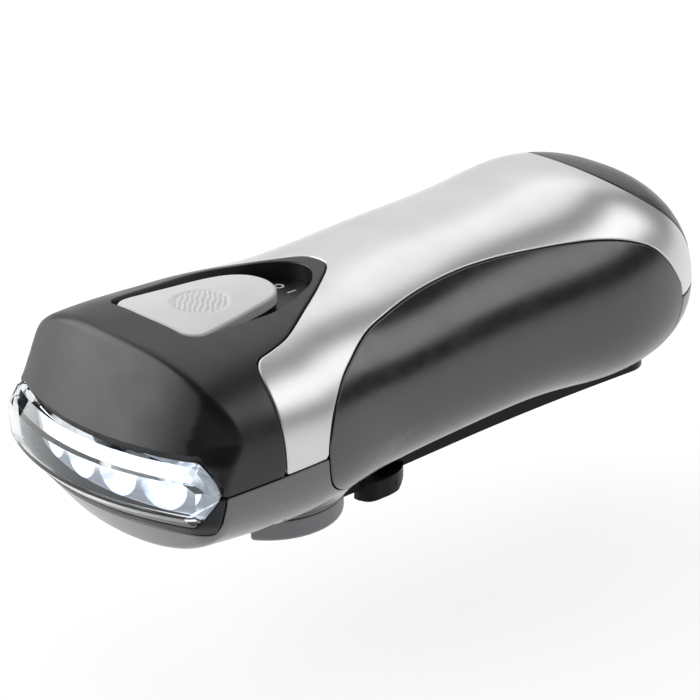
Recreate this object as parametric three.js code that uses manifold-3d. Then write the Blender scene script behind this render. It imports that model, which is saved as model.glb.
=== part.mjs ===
// Hand crank flashlight: a palm-sized torch whose folding crank drives a small generator.
// Millimetres, +Z up. The lens faces -Y and the tail +Y; the crank hub stands on Z = 0.
import * as THREE from 'three';
import { mergeVertices } from 'three/addons/utils/BufferGeometryUtils.js';
import Module from 'manifold-3d';

const wasm = await Module();
wasm.setup();

// Driving sizes of the casing
const overallLength = 141.3;
const bodyWidth = 56.2;
const crownRise = 25.5;
const bellyDrop = 17.5;
const wallThickness = 2.6;
const skinThickness = 1.2;
const clearance = 0.3;
const overrun = 20;
const mergeTolerance = 0.02;

// Lens window and the sloping face above it
const lensProud = 2;
const lensThickness = 2.2;
const lensArcRadius = 51.9;
const lensEndInset = 1.1;
const lensTipLength = 3.6;
const lensTopRise = 5.4;
const lensBottomDrop = 5.6;
const lensTipRise = 0.2;
const lensTipHalf = 0.4;
const lensBevel = 0.9;
const lensEndBevel = 1.7;
const fasciaRake = 0.465;
const chinRake = 0.8;
const cornerDepth = 4.2;
const cornerStartShare = 0.78;
const cornerRise = 8;

// Crank sizes
const hubSetback = 41.9;
const hubRadius = 13;
const hubHeight = 3.9;
const bossGap = 0.3;
const bossRadius = 13.3;
const bossFlare = 4.5;
const bossFlareRise = 5.4;
const hingeReach = 20.3;
const hingeHeight = 1.8;
const hingePinRadius = 0.8;
const barrelRadius = 1.75;
const armHalfWidth = 6.6;
const armThickness = 2.6;
const armBottom = 2.2;
const armArch = 0.7;
const armChamfer = 0.9;
const cheekThickness = 3.5;
const knobInset = 11.1;
const knobRadius = 6;
const knobShoulder = 9.4;
const knobTop = 12.4;
const knobSweepGap = 0.5;

// Switch sizes
const pocketSink = 7.5;
const pocketFloorThickness = 1.4;
const pocketDepth = 1.2;
const pocketSideGap = 0.7;
const switchTravel = 6;
const upperPostDrop = 5;
const circuitDrop = 10;
const capSunk = 0.4;

// Gear train: tooth sizes, tooth counts and levels
const gearModule = 0.6;
const rotorModule = 0.5;
const driveTeeth = 48;
const pinionTeeth = 12;
const idlerTeeth = 36;
const gearFace = 3;
const wheelFace = 2;
const wheelRise = 3.8;
const plateThickness = 1.2;
const plateDropShare = 0.82857;

// Places worked out from the sizes
const bodyLength = overallLength - lensProud;
const noseY = lensProud - overallLength / 2;
const halfWidth = bodyWidth / 2;
const lensHalfWidth = halfWidth - lensEndInset;
const lensCornerX = lensHalfWidth - lensTipLength;
// The casing's lowest line lies level with the top of the folded arm
const partingHeight = armBottom + armThickness + armArch + bellyDrop;
const lensTopHeight = partingHeight + lensTopRise;
const lensBottomHeight = partingHeight - lensBottomDrop;
const lensTipHeight = partingHeight + lensTipRise;
const pocketFloor = partingHeight + crownRise - pocketSink;
const circuitBottom = pocketFloor - circuitDrop;
const bossBottom = hubHeight + bossGap;
// The gear train stands on the belly's inside, from the bottom up
const plateLevel = partingHeight - plateDropShare * bellyDrop + wallThickness + clearance;
const gearLevel = plateLevel + plateThickness + 2 * clearance;
const coverLevel = gearLevel + 2 * wheelRise + wheelFace + 4 * clearance;
const at = (setback) => noseY + setback;
const hubY = at(hubSetback);
const hingeY = hubY + hingeReach;
const knobY = at(bodyLength - knobInset);
const armEndY = knobY + armHalfWidth - hingePinRadius / 4;
const fullTurn = 2 * Math.PI;

// Colours and finishes
const finish = (color, roughness, metalness = 0) =>
  new THREE.MeshStandardMaterial({ color, roughness, metalness });
const coverBlack = finish(0x2b2c2e, 0.55);
const gripBlack = finish(0x17181a, 0.3);
const satinSilver = finish(0xc9cbcf, 0.38, 0.35);
const shellGrey = finish(0x54575c, 0.3);
const hubGrey = finish(0x636265, 0.45);
const armBlack = finish(0x1b1c1e, 0.42);
const capGrey = finish(0xd7d8d9, 0.5);
const inlayGrey = finish(0x55535a, 0.35);
const steel = finish(0xb9bcc0, 0.3, 0.9);
const copper = finish(0xb5713a, 0.35, 0.8);
const whitePlastic = finish(0xf1f3f6, 0.35);
const mirrorFinish = finish(0xe7ebf2, 0.12, 0.8);
const boardGreen = finish(0x1f6b3c, 0.5);
const leadRed = finish(0x9a1c1c, 0.5);
const clear = new THREE.MeshStandardMaterial({
  color: 0xdfe9f2,
  roughness: 0.05,
  transparent: true,
  opacity: 0.35,
});

const part = new THREE.Group();

// Solids from closed three.js geometries

// Turns a closed geometry into a solid with its faces pointing out.
function toSolid(geometry) {
  const bare = geometry.clone();
  bare.deleteAttribute('normal');
  bare.deleteAttribute('uv');
  const merged = mergeVertices(bare);
  const points = merged.attributes.position.array;
  const corners = [];
  for (let i = 0; i < merged.index.count; i += 3) {
    const [a, b, c] = merged.index.array.slice(i, i + 3);
    if (a !== b && b !== c && c !== a) {
      corners.push([a, b, c]);
    }
  }
  const inward = signedVolume(points, corners) < 0;
  const triangles = corners.flatMap(([a, b, c]) => (inward ? [a, c, b] : [a, b, c]));
  return new wasm.Manifold(new wasm.Mesh({
    numProp: 3,
    vertProperties: new Float32Array(points),
    triVerts: new Uint32Array(triangles),
  }));
}

function signedVolume(points, corners) {
  const vertex = (i) => new THREE.Vector3().fromArray(points, 3 * i);
  return corners.reduce((sum, [a, b, c]) => sum + vertex(a).cross(vertex(b)).dot(vertex(c)), 0);
}

function boxSolid(x0, x1, y0, y1, z0, z1) {
  const geometry = new THREE.BoxGeometry(x1 - x0, y1 - y0, z1 - z0);
  geometry.translate((x0 + x1) / 2, (y0 + y1) / 2, (z0 + z1) / 2);
  return toSolid(geometry);
}

function rodSolid(x, y, z0, z1, radius, sides = 20) {
  const geometry = new THREE.CylinderGeometry(radius, radius, z1 - z0, sides);
  geometry.rotateX(Math.PI / 2);
  geometry.translate(x, y, (z0 + z1) / 2);
  return toSolid(geometry);
}

// A rod along X, for hinge pins.
function crossRodSolid(x0, x1, y, z, radius, sides = 16) {
  const geometry = new THREE.CylinderGeometry(radius, radius, x1 - x0, sides);
  geometry.rotateZ(Math.PI / 2);
  geometry.translate((x0 + x1) / 2, y, z);
  return toSolid(geometry);
}

// A rod along Y, for cells, lamps and forward-facing cups.
function lengthRodSolid(x, y0, y1, z, radius, sides = 20, frontRadius = radius) {
  const geometry = new THREE.CylinderGeometry(radius, frontRadius, y1 - y0, sides);
  geometry.translate(x, (y0 + y1) / 2, z);
  return toSolid(geometry);
}

// A profile of [radius, height] points turned about a vertical axis.
function turnedSolid(x, y, profile, sides = 24) {
  const points = profile.map(([radius, height]) => new THREE.Vector2(radius, height));
  const geometry = new THREE.LatheGeometry(points, sides);
  geometry.rotateX(Math.PI / 2);
  geometry.translate(x, y, 0);
  return toSolid(geometry);
}

// A flat outline of [x, y] points raised from z0 to z1.
function raisedSolid(outline, z0, z1) {
  const shape = new THREE.Shape(outline.map(([x, y]) => new THREE.Vector2(x, y)));
  const geometry = new THREE.ExtrudeGeometry(shape, { depth: z1 - z0, bevelEnabled: false });
  geometry.translate(0, 0, z0);
  return toSolid(geometry);
}

// A side outline of [y, z] points carried from x0 to x1.
function sidewaysSolid(outline, x0, x1, chamfer = 0) {
  const shape = new THREE.Shape(outline.map(([y, z]) => new THREE.Vector2(y, z)));
  const geometry = new THREE.ExtrudeGeometry(shape, {
    depth: x1 - x0 - 2 * chamfer,
    bevelEnabled: chamfer > 0,
    bevelThickness: chamfer,
    bevelSize: chamfer,
    bevelOffset: -chamfer,
    bevelSegments: 1,
  });
  const axes = new THREE.Matrix4().makeBasis(
    new THREE.Vector3(0, 1, 0),
    new THREE.Vector3(0, 0, 1),
    new THREE.Vector3(1, 0, 0),
  );
  geometry.applyMatrix4(axes);
  geometry.translate(x0 + chamfer, 0, 0);
  return toSolid(geometry);
}

// Rings of equally many points, closed at both ends by a fan about each end's middle.
function loftSolid(rings) {
  const count = rings[0].length;
  const middle = (ring) => [0, 1, 2].map((k) => ring.reduce((s, p) => s + p[k], 0) / count);
  const points = [...rings.flat(), middle(rings[0]), middle(rings.at(-1))];
  const first = rings.length * count;
  const index = [];
  for (let j = 0; j < count; j += 1) {
    const next = (j + 1) % count;
    index.push(first, next, j);
    const last = (rings.length - 1) * count;
    index.push(first + 1, last + j, last + next);
    for (let i = 0; i + 1 < rings.length; i += 1) {
      const low = i * count;
      const high = low + count;
      index.push(low + j, low + next, high + j, low + next, high + next, high + j);
    }
  }
  const geometry = new THREE.BufferGeometry();
  geometry.setAttribute('position', new THREE.Float32BufferAttribute(points.flat(), 3));
  geometry.setIndex(index);
  return toSolid(geometry);
}

const union = (solids) => solids.reduce((sum, solid) => sum.add(solid));
const mirrorX = (outline) => outline.map(([x, y]) => [-x, y]).reverse();

const sharpestShare = 0.5;

// Moves each corner of an outline outward by a distance, or inward by a negative one.
function offsetOutline(outline, distance) {
  const turn = THREE.ShapeUtils.isClockWise(outline.map(([x, y]) => new THREE.Vector2(x, y))) ? -1 : 1;
  const edge = (a, b) => new THREE.Vector2(b[1] - a[1], a[0] - b[0]).normalize();
  return outline.map((point, i) => {
    const before = outline[(i + outline.length - 1) % outline.length];
    const after = outline[(i + 1) % outline.length];
    const normalIn = edge(before, point);
    const normal = normalIn.clone().add(edge(point, after)).normalize();
    const reach = (turn * distance) / Math.max(normal.dot(normalIn), sharpestShare);
    return [point[0] + normal.x * reach, point[1] + normal.y * reach];
  });
}

function roundedBox(x0, x1, y0, y1, radius, steps = 4) {
  const corners = [[x1, y1, 0], [x0, y1, 1], [x0, y0, 2], [x1, y0, 3]];
  return corners.flatMap(([x, y, quarter]) => {
    const centreX = x - Math.sign(x - (x0 + x1) / 2) * radius;
    const centreY = y - Math.sign(y - (y0 + y1) / 2) * radius;
    return Array.from({ length: steps + 1 }, (unused, i) => {
      const angle = (quarter + i / steps) * fullTurn / 4;
      return [centreX + radius * Math.cos(angle), centreY + radius * Math.sin(angle)];
    });
  });
}

function circle(x, y, radius, sides) {
  return Array.from({ length: sides }, (unused, i) => {
    const angle = (i / sides) * fullTurn;
    return [x + radius * Math.cos(angle), y + radius * Math.sin(angle)];
  });
}

// Adds a solid to the part as a named mesh.
function add(name, solid, material) {
  const { vertProperties, triVerts } = solid.asOriginal().simplify(mergeTolerance).getMesh();
  const geometry = new THREE.BufferGeometry();
  geometry.setAttribute('position', new THREE.BufferAttribute(vertProperties, 3));
  geometry.setIndex(new THREE.BufferAttribute(triVerts, 1));
  geometry.computeVertexNormals();
  const mesh = new THREE.Mesh(geometry, material);
  mesh.name = name;
  part.add(mesh);
}

// The casing's outer form

// A smooth curve through a table of values, read at any share of the body's length.
function smoothCurve(shares, values) {
  const slope = (i) => {
    const a = Math.max(i - 1, 0);
    const b = Math.min(i + 1, shares.length - 1);
    return (values[b] - values[a]) / (shares[b] - shares[a]);
  };
  return (share) => {
    let i = shares.findIndex((s) => s > share) - 1;
    if (i < 0) {
      i = share < shares[0] ? 0 : shares.length - 2;
    }
    const span = shares[i + 1] - shares[i];
    const t = (share - shares[i]) / span;
    const rise = values[i + 1] - values[i];
    const bend = slope(i) * span - rise;
    const bendBack = rise - slope(i + 1) * span;
    return values[i] + t * rise + t * (1 - t) * ((1 - t) * bend + t * bendBack);
  };
}

const stationShares = [-0.06, 0.03, 0.224, 0.37, 0.515, 0.66, 0.806, 1];
const widthCurve = smoothCurve(stationShares, [0.989, 0.989, 1, 0.897, 0.851, 0.84, 0.872, 0.915]);
const crownCurve = smoothCurve(stationShares, [0.52, 0.815, 0.864, 0.839, 0.894, 0.933, 1, 0.945]);
const bellyCurve = smoothCurve(stationShares, [0.8, 0.863, 1, 0.897, 0.846, 0.834, 0.966, 1.126]);
const tailStartShare = 0.7286;
const tailPower = 2.48;
const acrossPower = 2.41;
const uprightPower = 2.15;
const browPower = 0.85;
const browShare = 0.323;

// How far the section has closed towards the tail, from 1 down to 0 at its end.
function tailFullness(setback, inset) {
  const start = tailStartShare * bodyLength;
  const run = Math.max(setback - start, 0) / (bodyLength - inset - start);
  return Math.max(1 - run ** tailPower, 0);
}

// The crown's section grows squarer towards the nose.
function crownPower(share) {
  const run = Math.min(Math.max(1 - share / browShare, 0), 1);
  return uprightPower + browPower * run * run * (3 - 2 * run);
}

function bodyRing(setback, inset, sides) {
  const share = setback / bodyLength;
  const fullness = tailFullness(setback, inset);
  const reach = (halfWidth * widthCurve(share) - inset) * fullness ** (1 / acrossPower);
  const rise = (crownRise * crownCurve(share) - inset) * fullness ** (1 / uprightPower);
  const drop = (bellyDrop * bellyCurve(share) - inset) * fullness ** (1 / uprightPower);
  return Array.from({ length: sides }, (unused, i) => {
    const angle = (i / sides) * fullTurn;
    const cosine = Math.cos(angle);
    const sine = Math.sin(angle);
    const x = reach * Math.sign(cosine) * Math.abs(cosine) ** (2 / acrossPower);
    const z = sine > 0 ? rise * sine ** (2 / crownPower(share)) : -drop * Math.abs(sine) ** (2 / uprightPower);
    return [x, at(setback), partingHeight + z];
  });
}

const ringShares = [-0.05, 0.03, 0.1, 0.17, 0.24, 0.31, 0.38, 0.45, 0.52, 0.59, 0.66, 0.73, 0.785, 0.83,
  0.868, 0.902, 0.931, 0.955, 0.974, 0.987, 0.996, 0.9995, 0.99999];

function crownSolid(inset, sides = 36) {
  const start = ringShares[0] * bodyLength;
  const rings = ringShares.map((share) => {
    const along = (share - ringShares[0]) / (1 - ringShares[0]);
    return bodyRing(start + along * (bodyLength - inset - start), inset, sides);
  });
  return loftSolid(rings);
}

const lensArc = (x) => lensArcRadius - Math.sqrt(lensArcRadius ** 2 - x ** 2);

// Setback of the nose's face at a place across and up the nose.
function noseSetback(x, z) {
  const above = Math.max(z - lensTopHeight, 0);
  const below = Math.max(lensBottomHeight - z, 0);
  const ramp = Math.min(Math.abs(z - lensTipHeight) / cornerRise, 1);
  const cornerStart = cornerStartShare * halfWidth;
  const past = Math.max(Math.abs(x) - cornerStart, 0) / (halfWidth - cornerStart);
  return lensArc(x) + fasciaRake * above + chinRake * below + cornerDepth * ramp * past ** 1.5;
}

const noseTopShares = [0.6, 1.2];
const noseAcrossShares = [-1.12, -1.05, -1, -0.95, -0.89, -0.82, -0.74, -0.6, -0.4, -0.2, 0];

function noseSolid(inset) {
  const halfRow = noseAcrossShares.map((share) => share * halfWidth);
  const row = [...halfRow, ...halfRow.slice(0, -1).map((x) => -x).reverse()];
  const heights = [
    partingHeight - 2 * bellyDrop,
    partingHeight - bellyDrop,
    lensBottomHeight - cornerRise / 2,
    lensBottomHeight,
    (lensBottomHeight + lensTipHeight) / 2,
    lensTipHeight,
    (lensTopHeight + lensTipHeight) / 2,
    lensTopHeight,
    lensTipHeight + cornerRise,
    ...noseTopShares.map((share) => partingHeight + share * crownRise),
  ];
  return loftSolid(heights.map((z) => [
    ...row.map((x) => [x, at(noseSetback(x, z) + inset), z]),
    [-row[0], at(bodyLength + overrun), z],
    [row[0], at(bodyLength + overrun), z],
  ]));
}

const outer = crownSolid(0).intersect(noseSolid(0));
const underSkin = crownSolid(skinThickness);
const skinSeat = crownSolid(skinThickness + clearance);
const hollow = crownSolid(wallThickness, 28).intersect(noseSolid(wallThickness));
const shell = outer.subtract(hollow);
const farX = halfWidth + overrun;
const farY = bodyLength + overrun;
const farZ = partingHeight + crownRise + overrun;
const upperHalf = boxSolid(-farX, farX, -farY, farY, partingHeight + clearance, farY);
const lowerHalf = boxSolid(-farX, farX, -farY, farY, -farY, partingHeight);

// Outlines on the casing

// Half of the head cover's rear edge seen from above, as shares of half the width and of the length
const coverEdgeShares = [[0, 0.3905], [0.093, 0.386], [0.253, 0.3475], [0.448, 0.288], [0.616, 0.229],
  [0.665, 0.197], [0.701, 0.17], [0.744, 0.161], [0.82, 0.1565], [0.92, 0.156], [1.1, 0.159], [1.1, -0.1]];

function coverOutline(margin) {
  const half = coverEdgeShares.map(([x, y]) => [x * halfWidth, at(y * bodyLength)]);
  const whole = [...mirrorX(half), ...half.slice(1)];
  return offsetOutline(whole, margin);
}

// Side grip seen from the side, as shares of the length, and of the crown's rise above the parting or of the
// belly's drop below it
const gripShares = [[0.226, 0.02], [0.231, 0.17], [0.243, 0.3], [0.27, 0.44], [0.302, 0.525],
  [0.342, 0.6], [0.385, 0.643], [0.435, 0.686], [0.48, 0.714], [0.53, 0.73], [0.588, 0.726],
  [0.646, 0.706], [0.702, 0.682], [0.74, 0.659], [0.776, 0.62], [0.81, 0.56], [0.842, 0.474],
  [0.866, 0.353], [0.885, 0.212], [0.9, 0.067], [0.9, -0.1457], [0.888, -0.3789], [0.86, -0.5683],
  [0.8, -0.6557], [0.7, -0.6703], [0.6, -0.6703], [0.5, -0.6703], [0.4, -0.663], [0.31, -0.6266],
  [0.262, -0.4954], [0.235, -0.2914]];

function gripOutline(margin) {
  const outline = gripShares.map(([y, z]) => [at(y * bodyLength), partingHeight + z * (z > 0 ? crownRise : bellyDrop)]);
  return offsetOutline(outline, margin);
}

const gripSeatRight = sidewaysSolid(gripOutline(clearance), 0, farX).subtract(skinSeat);
const gripSeatLeft = sidewaysSolid(gripOutline(clearance), -farX, 0).subtract(skinSeat);

// Tail inlay seen from above: a rounded tongue that runs down over the tail
const inlayFrontShare = 0.809;
const inlayFullShare = 0.926;
const inlayHalfShare = 0.57;
const inlayBottomShare = 0.24;
const inlayPower = 2.3;

function inlayOutline(margin) {
  const steps = 8;
  const half = Array.from({ length: steps + 1 }, (unused, i) => {
    const angle = (i / steps) * fullTurn / 4;
    const across = inlayHalfShare * halfWidth * Math.sin(angle) ** (2 / inlayPower);
    const along = inlayFullShare - (inlayFullShare - inlayFrontShare) * Math.cos(angle) ** (2 / inlayPower);
    return [across, at(along * bodyLength)];
  });
  half.push([inlayHalfShare * halfWidth, at(bodyLength + overrun)]);
  return offsetOutline([...mirrorX(half), ...half.slice(1)], margin);
}

const inlayBottom = partingHeight + inlayBottomShare * crownRise;
const inlaySeat = raisedSolid(inlayOutline(clearance), inlayBottom - clearance, farZ).subtract(skinSeat);

// Lens window: a long hexagon seen from the front
function lensHalfHeight(x) {
  const run = Math.max(Math.abs(x) - lensCornerX, 0) / (lensHalfWidth - lensCornerX);
  return {
    top: lensTopHeight + run * (lensTipHeight + lensTipHalf - lensTopHeight),
    bottom: lensBottomHeight + run * (lensTipHeight - lensTipHalf - lensBottomHeight),
  };
}

function lensWindow(margin) {
  const across = [-lensHalfWidth, -lensCornerX, lensCornerX, lensHalfWidth];
  const top = across.map((x) => [x, lensHalfHeight(x).top]);
  const bottom = across.map((x) => [x, lensHalfHeight(x).bottom]).reverse();
  const outline = offsetOutline([...top, ...bottom], margin);
  const flat = raisedSolid(outline, 0, 2 * overrun);
  return flat.rotate([90, 0, 0]).translate([0, at(overrun), 0]);
}

// Places of the parts inside, in plan

const pitchRadius = (teeth, module) => (teeth * module) / 2;
const driveReach = pitchRadius(driveTeeth + pinionTeeth, gearModule);
const idlerReach = pitchRadius(idlerTeeth + pinionTeeth, gearModule);
const rotorReach = pitchRadius(idlerTeeth + pinionTeeth, rotorModule);
const firstSideShare = -0.44444;
const secondSideShare = 0.90278;
const rotorSideShare = -0.33333;
const step = (from, sideShare, reach) => {
  const side = sideShare * reach;
  return [from[0] + side, from[1] + Math.sqrt(reach ** 2 - side ** 2)];
};
const hubPlace = [0, hubY];
const firstPlace = step(hubPlace, firstSideShare, driveReach);
const secondPlace = step(firstPlace, secondSideShare, idlerReach);
const rotorPlace = step(secondPlace, rotorSideShare, rotorReach);

const headScrewX = 0.73 * halfWidth;
const headScrewY = at(0.176 * bodyLength);
const tailScrewX = 0.516 * halfWidth;
const tailScrewY = at(0.8205 * bodyLength);
const screwRadius = 1.2;
const screwHeadRadius = 2.4;
const screwHeadDepth = 1.6;
const screwLength = 16;
const screwSeat = partingHeight - 0.56 * bellyDrop;
const postRadius = screwHeadRadius + 2 * clearance;
const screwPlaces = [
  { side: 'front_right', x: headScrewX, y: headScrewY },
  { side: 'front_left', x: -headScrewX, y: headScrewY },
  { side: 'rear_right', x: tailScrewX, y: tailScrewY },
  { side: 'rear_left', x: -tailScrewX, y: tailScrewY },
];

const screwHole = ({ x, y }) => rodSolid(x, y, 0, screwSeat + screwLength + clearance, screwRadius + clearance, 12)
  .add(rodSolid(x, y, 0, screwSeat, screwHeadRadius + clearance, 16));

function lowerPost({ x, y }) {
  return rodSolid(x, y, 0, partingHeight, postRadius, 16).intersect(outer);
}

const upperPostTop = pocketFloor - upperPostDrop;

function upperPost({ x, y }) {
  return rodSolid(x, y, partingHeight + clearance, upperPostTop, postRadius, 16).intersect(outer);
}

// The web that ties an upper post to the side wall of its shell
function postWeb({ x, y }) {
  const web = postRadius / 2;
  const from = Math.sign(x) > 0 ? x : -halfWidth;
  const to = Math.sign(x) > 0 ? halfWidth : x;
  return boxSolid(from, to, y - web, y + web, partingHeight + clearance, upperPostTop).intersect(outer);
}

const screwHoles = union(screwPlaces.map(screwHole));

// Crank: hub, folding arm and knob

const bushOuter = 7;
const bushInner = 5.4;
const bushFlange = 8.2;
const bushTop = plateLevel - 4 * clearance;
const flangeThickness = 1;
const sleeveRadius = 5.1;
const sleeveTop = bushTop - 2 * clearance / 3;
const yokeBottom = 1.7;
const yokeRadius = 12.1;
const shaftRadius = 2.8;
const shaftNeck = 1.8;
const shaftTop = coverLevel + plateThickness + 13 * clearance / 3;
const shaftFoot = 3.3;
const hubScrewRadius = 1.1;
const hubScrewHead = 2.4;
const hubScrewHeadDepth = 1;
const hubScrewLength = 9;
const clipRadius = 6.6;
const clipThickness = 0.8;

// Half of the yoke's rear end seen from above, as shares of its half width, and its neck's share
const cheekShares = [[0.94, -0.5], [1, -0.38], [1, -0.05], [0.94, 0.16], [0.82, 0.33], [0.67, 0.45]];
const neckShare = 0.75;
const yokeHalf = armHalfWidth + clearance + cheekThickness;
const yokeNeck = neckShare * yokeHalf;
const cheekLength = 12;
const cheekFrontY = hingeY - cheekLength / 2 - clearance;

function yokeOutline() {
  const plate = circle(0, hubY, yokeRadius, 32);
  const quarter = plate.slice(1, 4);
  const side = plate.slice(0, 9).map(([x, y]) => [x, 2 * hubY - y]).reverse();
  const neckY = hubY + Math.sqrt(yokeRadius ** 2 - yokeNeck ** 2);
  const cheeks = cheekShares.map(([x, y]) => [x * yokeHalf, hingeY + y * cheekLength]);
  const half = [...side, ...quarter, [yokeNeck, neckY], [yokeNeck, cheekFrontY - clearance], ...cheeks,
    [0, cheeks.at(-1)[1]]];
  return [...half, ...mirrorX(half).slice(1, -1)];
}

function crankYoke() {
  const barrelRoom = barrelRadius + clearance;
  const tongueTop = hubHeight - clearance;
  const neckFront = hubY + hubRadius + clearance;
  const slotFront = hingeY - barrelRoom;
  const slotBack = hingeY + overrun;
  const slotHalf = armHalfWidth + clearance;
  const screwFloor = yokeBottom + hubScrewHeadDepth;
  const plate = raisedSolid(yokeOutline(), 0, tongueTop);
  const armSlot = boxSolid(-slotHalf, slotHalf, slotFront, slotBack, -clearance, hubHeight);
  const underNeck = boxSolid(-farX, farX, hubY - farX, neckFront, -clearance, yokeBottom);
  const unfoldRoom = boxSolid(-slotHalf, slotHalf, hubY - farX, slotBack, -clearance, yokeBottom);
  const neckRoom = boxSolid(-yokeHalf, yokeHalf, neckFront, cheekFrontY - clearance, -clearance, yokeBottom);
  const sleeve = rodSolid(0, hubY, tongueTop - clearance, sleeveTop, sleeveRadius, 28);
  const shaftSeat = rodSolid(0, hubY, shaftFoot - clearance, sleeveTop + clearance, shaftRadius + clearance, 20);
  const screwWay = rodSolid(0, hubY, 0, shaftFoot, hubScrewRadius + clearance, 14);
  const headRoom = rodSolid(0, hubY, 0, screwFloor, hubScrewHead + clearance, 18);
  const pinWay = crossRodSolid(-yokeHalf - clearance, yokeHalf + clearance, hingeY, hingeHeight,
    hingePinRadius + clearance / 2);
  const solid = plate.subtract(armSlot).subtract(underNeck).subtract(unfoldRoom).subtract(neckRoom);
  return solid.add(sleeve).subtract(shaftSeat).subtract(screwWay).subtract(headRoom).subtract(pinWay);
}

const hubBevel = 1;
const channelHalf = armHalfWidth + 2 * clearance;

function hubCap() {
  const cup = turnedSolid(0, hubY, [[0, 0], [hubRadius - hubBevel, 0], [hubRadius, hubBevel],
    [hubRadius, hubHeight], [0, hubHeight]], 40);
  const yokeSeat = rodSolid(0, hubY, yokeBottom - clearance, hubHeight + clearance, yokeRadius + clearance, 32);
  const channel = boxSolid(-channelHalf, channelHalf, hubY - farX, hubY + farX, -clearance, yokeBottom);
  const neck = yokeNeck + clearance;
  const neckWay = boxSolid(-neck, neck, hubY, hubY + farX, yokeBottom - clearance, hubHeight + clearance);
  return cup.subtract(yokeSeat).subtract(channel).subtract(neckWay);
}

function crankArm() {
  const steps = 10;
  const tip = armEndY;
  const rise = (t) => armArch * Math.sin(Math.PI * t);
  const station = (i, lift) => {
    const t = i / steps;
    return [hingeY + t * (tip - hingeY), armBottom + rise(t) + lift];
  };
  const lower = Array.from({ length: steps + 1 }, (unused, i) => station(i, 0));
  const upper = Array.from({ length: steps + 1 }, (unused, i) => station(steps - i, armThickness));
  const side = [...lower, ...upper];
  const blank = sidewaysSolid(side, -armHalfWidth, armHalfWidth, armChamfer);
  const barrel = crossRodSolid(-armHalfWidth, armHalfWidth, hingeY, hingeHeight, barrelRadius, 20);
  const plan = roundedBox(-armHalfWidth, armHalfWidth, hingeY - overrun, tip, armHalfWidth - clearance / 3, 8);
  const pinWay = crossRodSolid(-farX, farX, hingeY, hingeHeight, hingePinRadius + clearance);
  const axleWay = rodSolid(0, knobY, 0, knobTop, knobAxleRadius + clearance, 16);
  const rounded = blank.intersect(raisedSolid(plan, -clearance, knobTop));
  return rounded.add(barrel).subtract(pinWay).subtract(axleWay);
}

const knobAxleRadius = 1.5;
const knobAxleHead = 3.6;
const knobBore = 2.9;
const knobHeadDepth = 2;
const knobEdge = 1;
const archAtKnob = armArch * Math.sin(Math.PI * (knobY - hingeY) / (armEndY - hingeY));
const armUnderKnob = armBottom + archAtKnob;

function knobAxle() {
  const foot = armUnderKnob - clearance;
  const top = knobTop - knobHeadDepth;
  const bevel = foot / 3;
  return turnedSolid(0, knobY, [[0, 0], [knobAxleHead - bevel, 0], [knobAxleHead, bevel], [knobAxleHead, foot],
    [knobAxleRadius, foot], [knobAxleRadius, top], [knobBore - clearance, top],
    [knobBore - clearance, knobTop - clearance], [0, knobTop - clearance]], 20);
}

// Half of the domed top of the knob, as shares of its radius and of the dome's rise
const domeShares = [[1, 0], [0.9, 0.32], [0.72, 0.66], [0.5, 1]];

function domeOutline(margin) {
  const rise = knobTop - knobShoulder;
  return domeShares.map(([x, z]) => [x * knobRadius + margin, knobShoulder + z * rise + margin]);
}

function crankKnob() {
  const bottom = armUnderKnob + armThickness + clearance;
  const seat = knobTop - knobHeadDepth - clearance;
  const bore = knobAxleRadius + clearance;
  return turnedSolid(0, knobY, [[bore, bottom], [knobRadius - knobEdge, bottom],
    [knobRadius, bottom + knobEdge], ...domeOutline(0), [knobBore, knobTop], [knobBore, seat], [bore, seat],
    [bore, bottom]], 24);
}

// The round path of the knob about the hub, cut across the underside of the tail
function knobSweep(margin) {
  const reach = knobY - hubY;
  const dome = domeOutline(margin);
  const foot = [dome[0][0], -clearance];
  const profile = [...[foot, ...dome].map(([x, z]) => [reach - x, z]),
    ...[foot, ...dome].reverse().map(([x, z]) => [reach + x, z]), [reach - foot[0], foot[1]]];
  return turnedSolid(0, hubY, profile, 96);
}

function crankShaft() {
  const rod = turnedSolid(0, hubY, [[0, shaftFoot], [shaftRadius, shaftFoot], [shaftRadius, coverLevel - clearance],
    [shaftNeck, coverLevel - clearance], [shaftNeck, shaftTop], [0, shaftTop]], 20);
  const thread = rodSolid(0, hubY, shaftFoot - clearance, shaftFoot + hubScrewLength, hubScrewRadius + clearance, 14);
  return rod.subtract(thread);
}

function hubScrew() {
  const headTop = yokeBottom + hubScrewHeadDepth - clearance / 2;
  const tip = shaftFoot + hubScrewLength - hubScrewRadius;
  return turnedSolid(0, hubY, [[0, yokeBottom + clearance], [hubScrewHead, yokeBottom + clearance],
    [hubScrewHead, headTop], [hubScrewRadius, headTop], [hubScrewRadius, tip], [0, tip]], 16);
}

function hingePin() {
  const reach = yokeHalf - clearance;
  return crossRodSolid(-reach, reach, hingeY, hingeHeight, hingePinRadius);
}

function shaftClip() {
  const bottom = bushTop + clearance;
  const inner = shaftRadius + clearance;
  return turnedSolid(0, hubY, [[inner, bottom], [clipRadius, bottom], [clipRadius, bottom + clipThickness],
    [inner, bottom + clipThickness], [inner, bottom]], 24);
}

function crankBush() {
  const top = bushTop;
  return turnedSolid(0, hubY, [[bushInner, bossBottom], [bushOuter, bossBottom],
    [bushOuter, top - flangeThickness], [bushFlange, top - flangeThickness], [bushFlange, top],
    [bushInner, top], [bushInner, bossBottom]], 28);
}

// Casing shells

const tubWall = 2;

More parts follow.
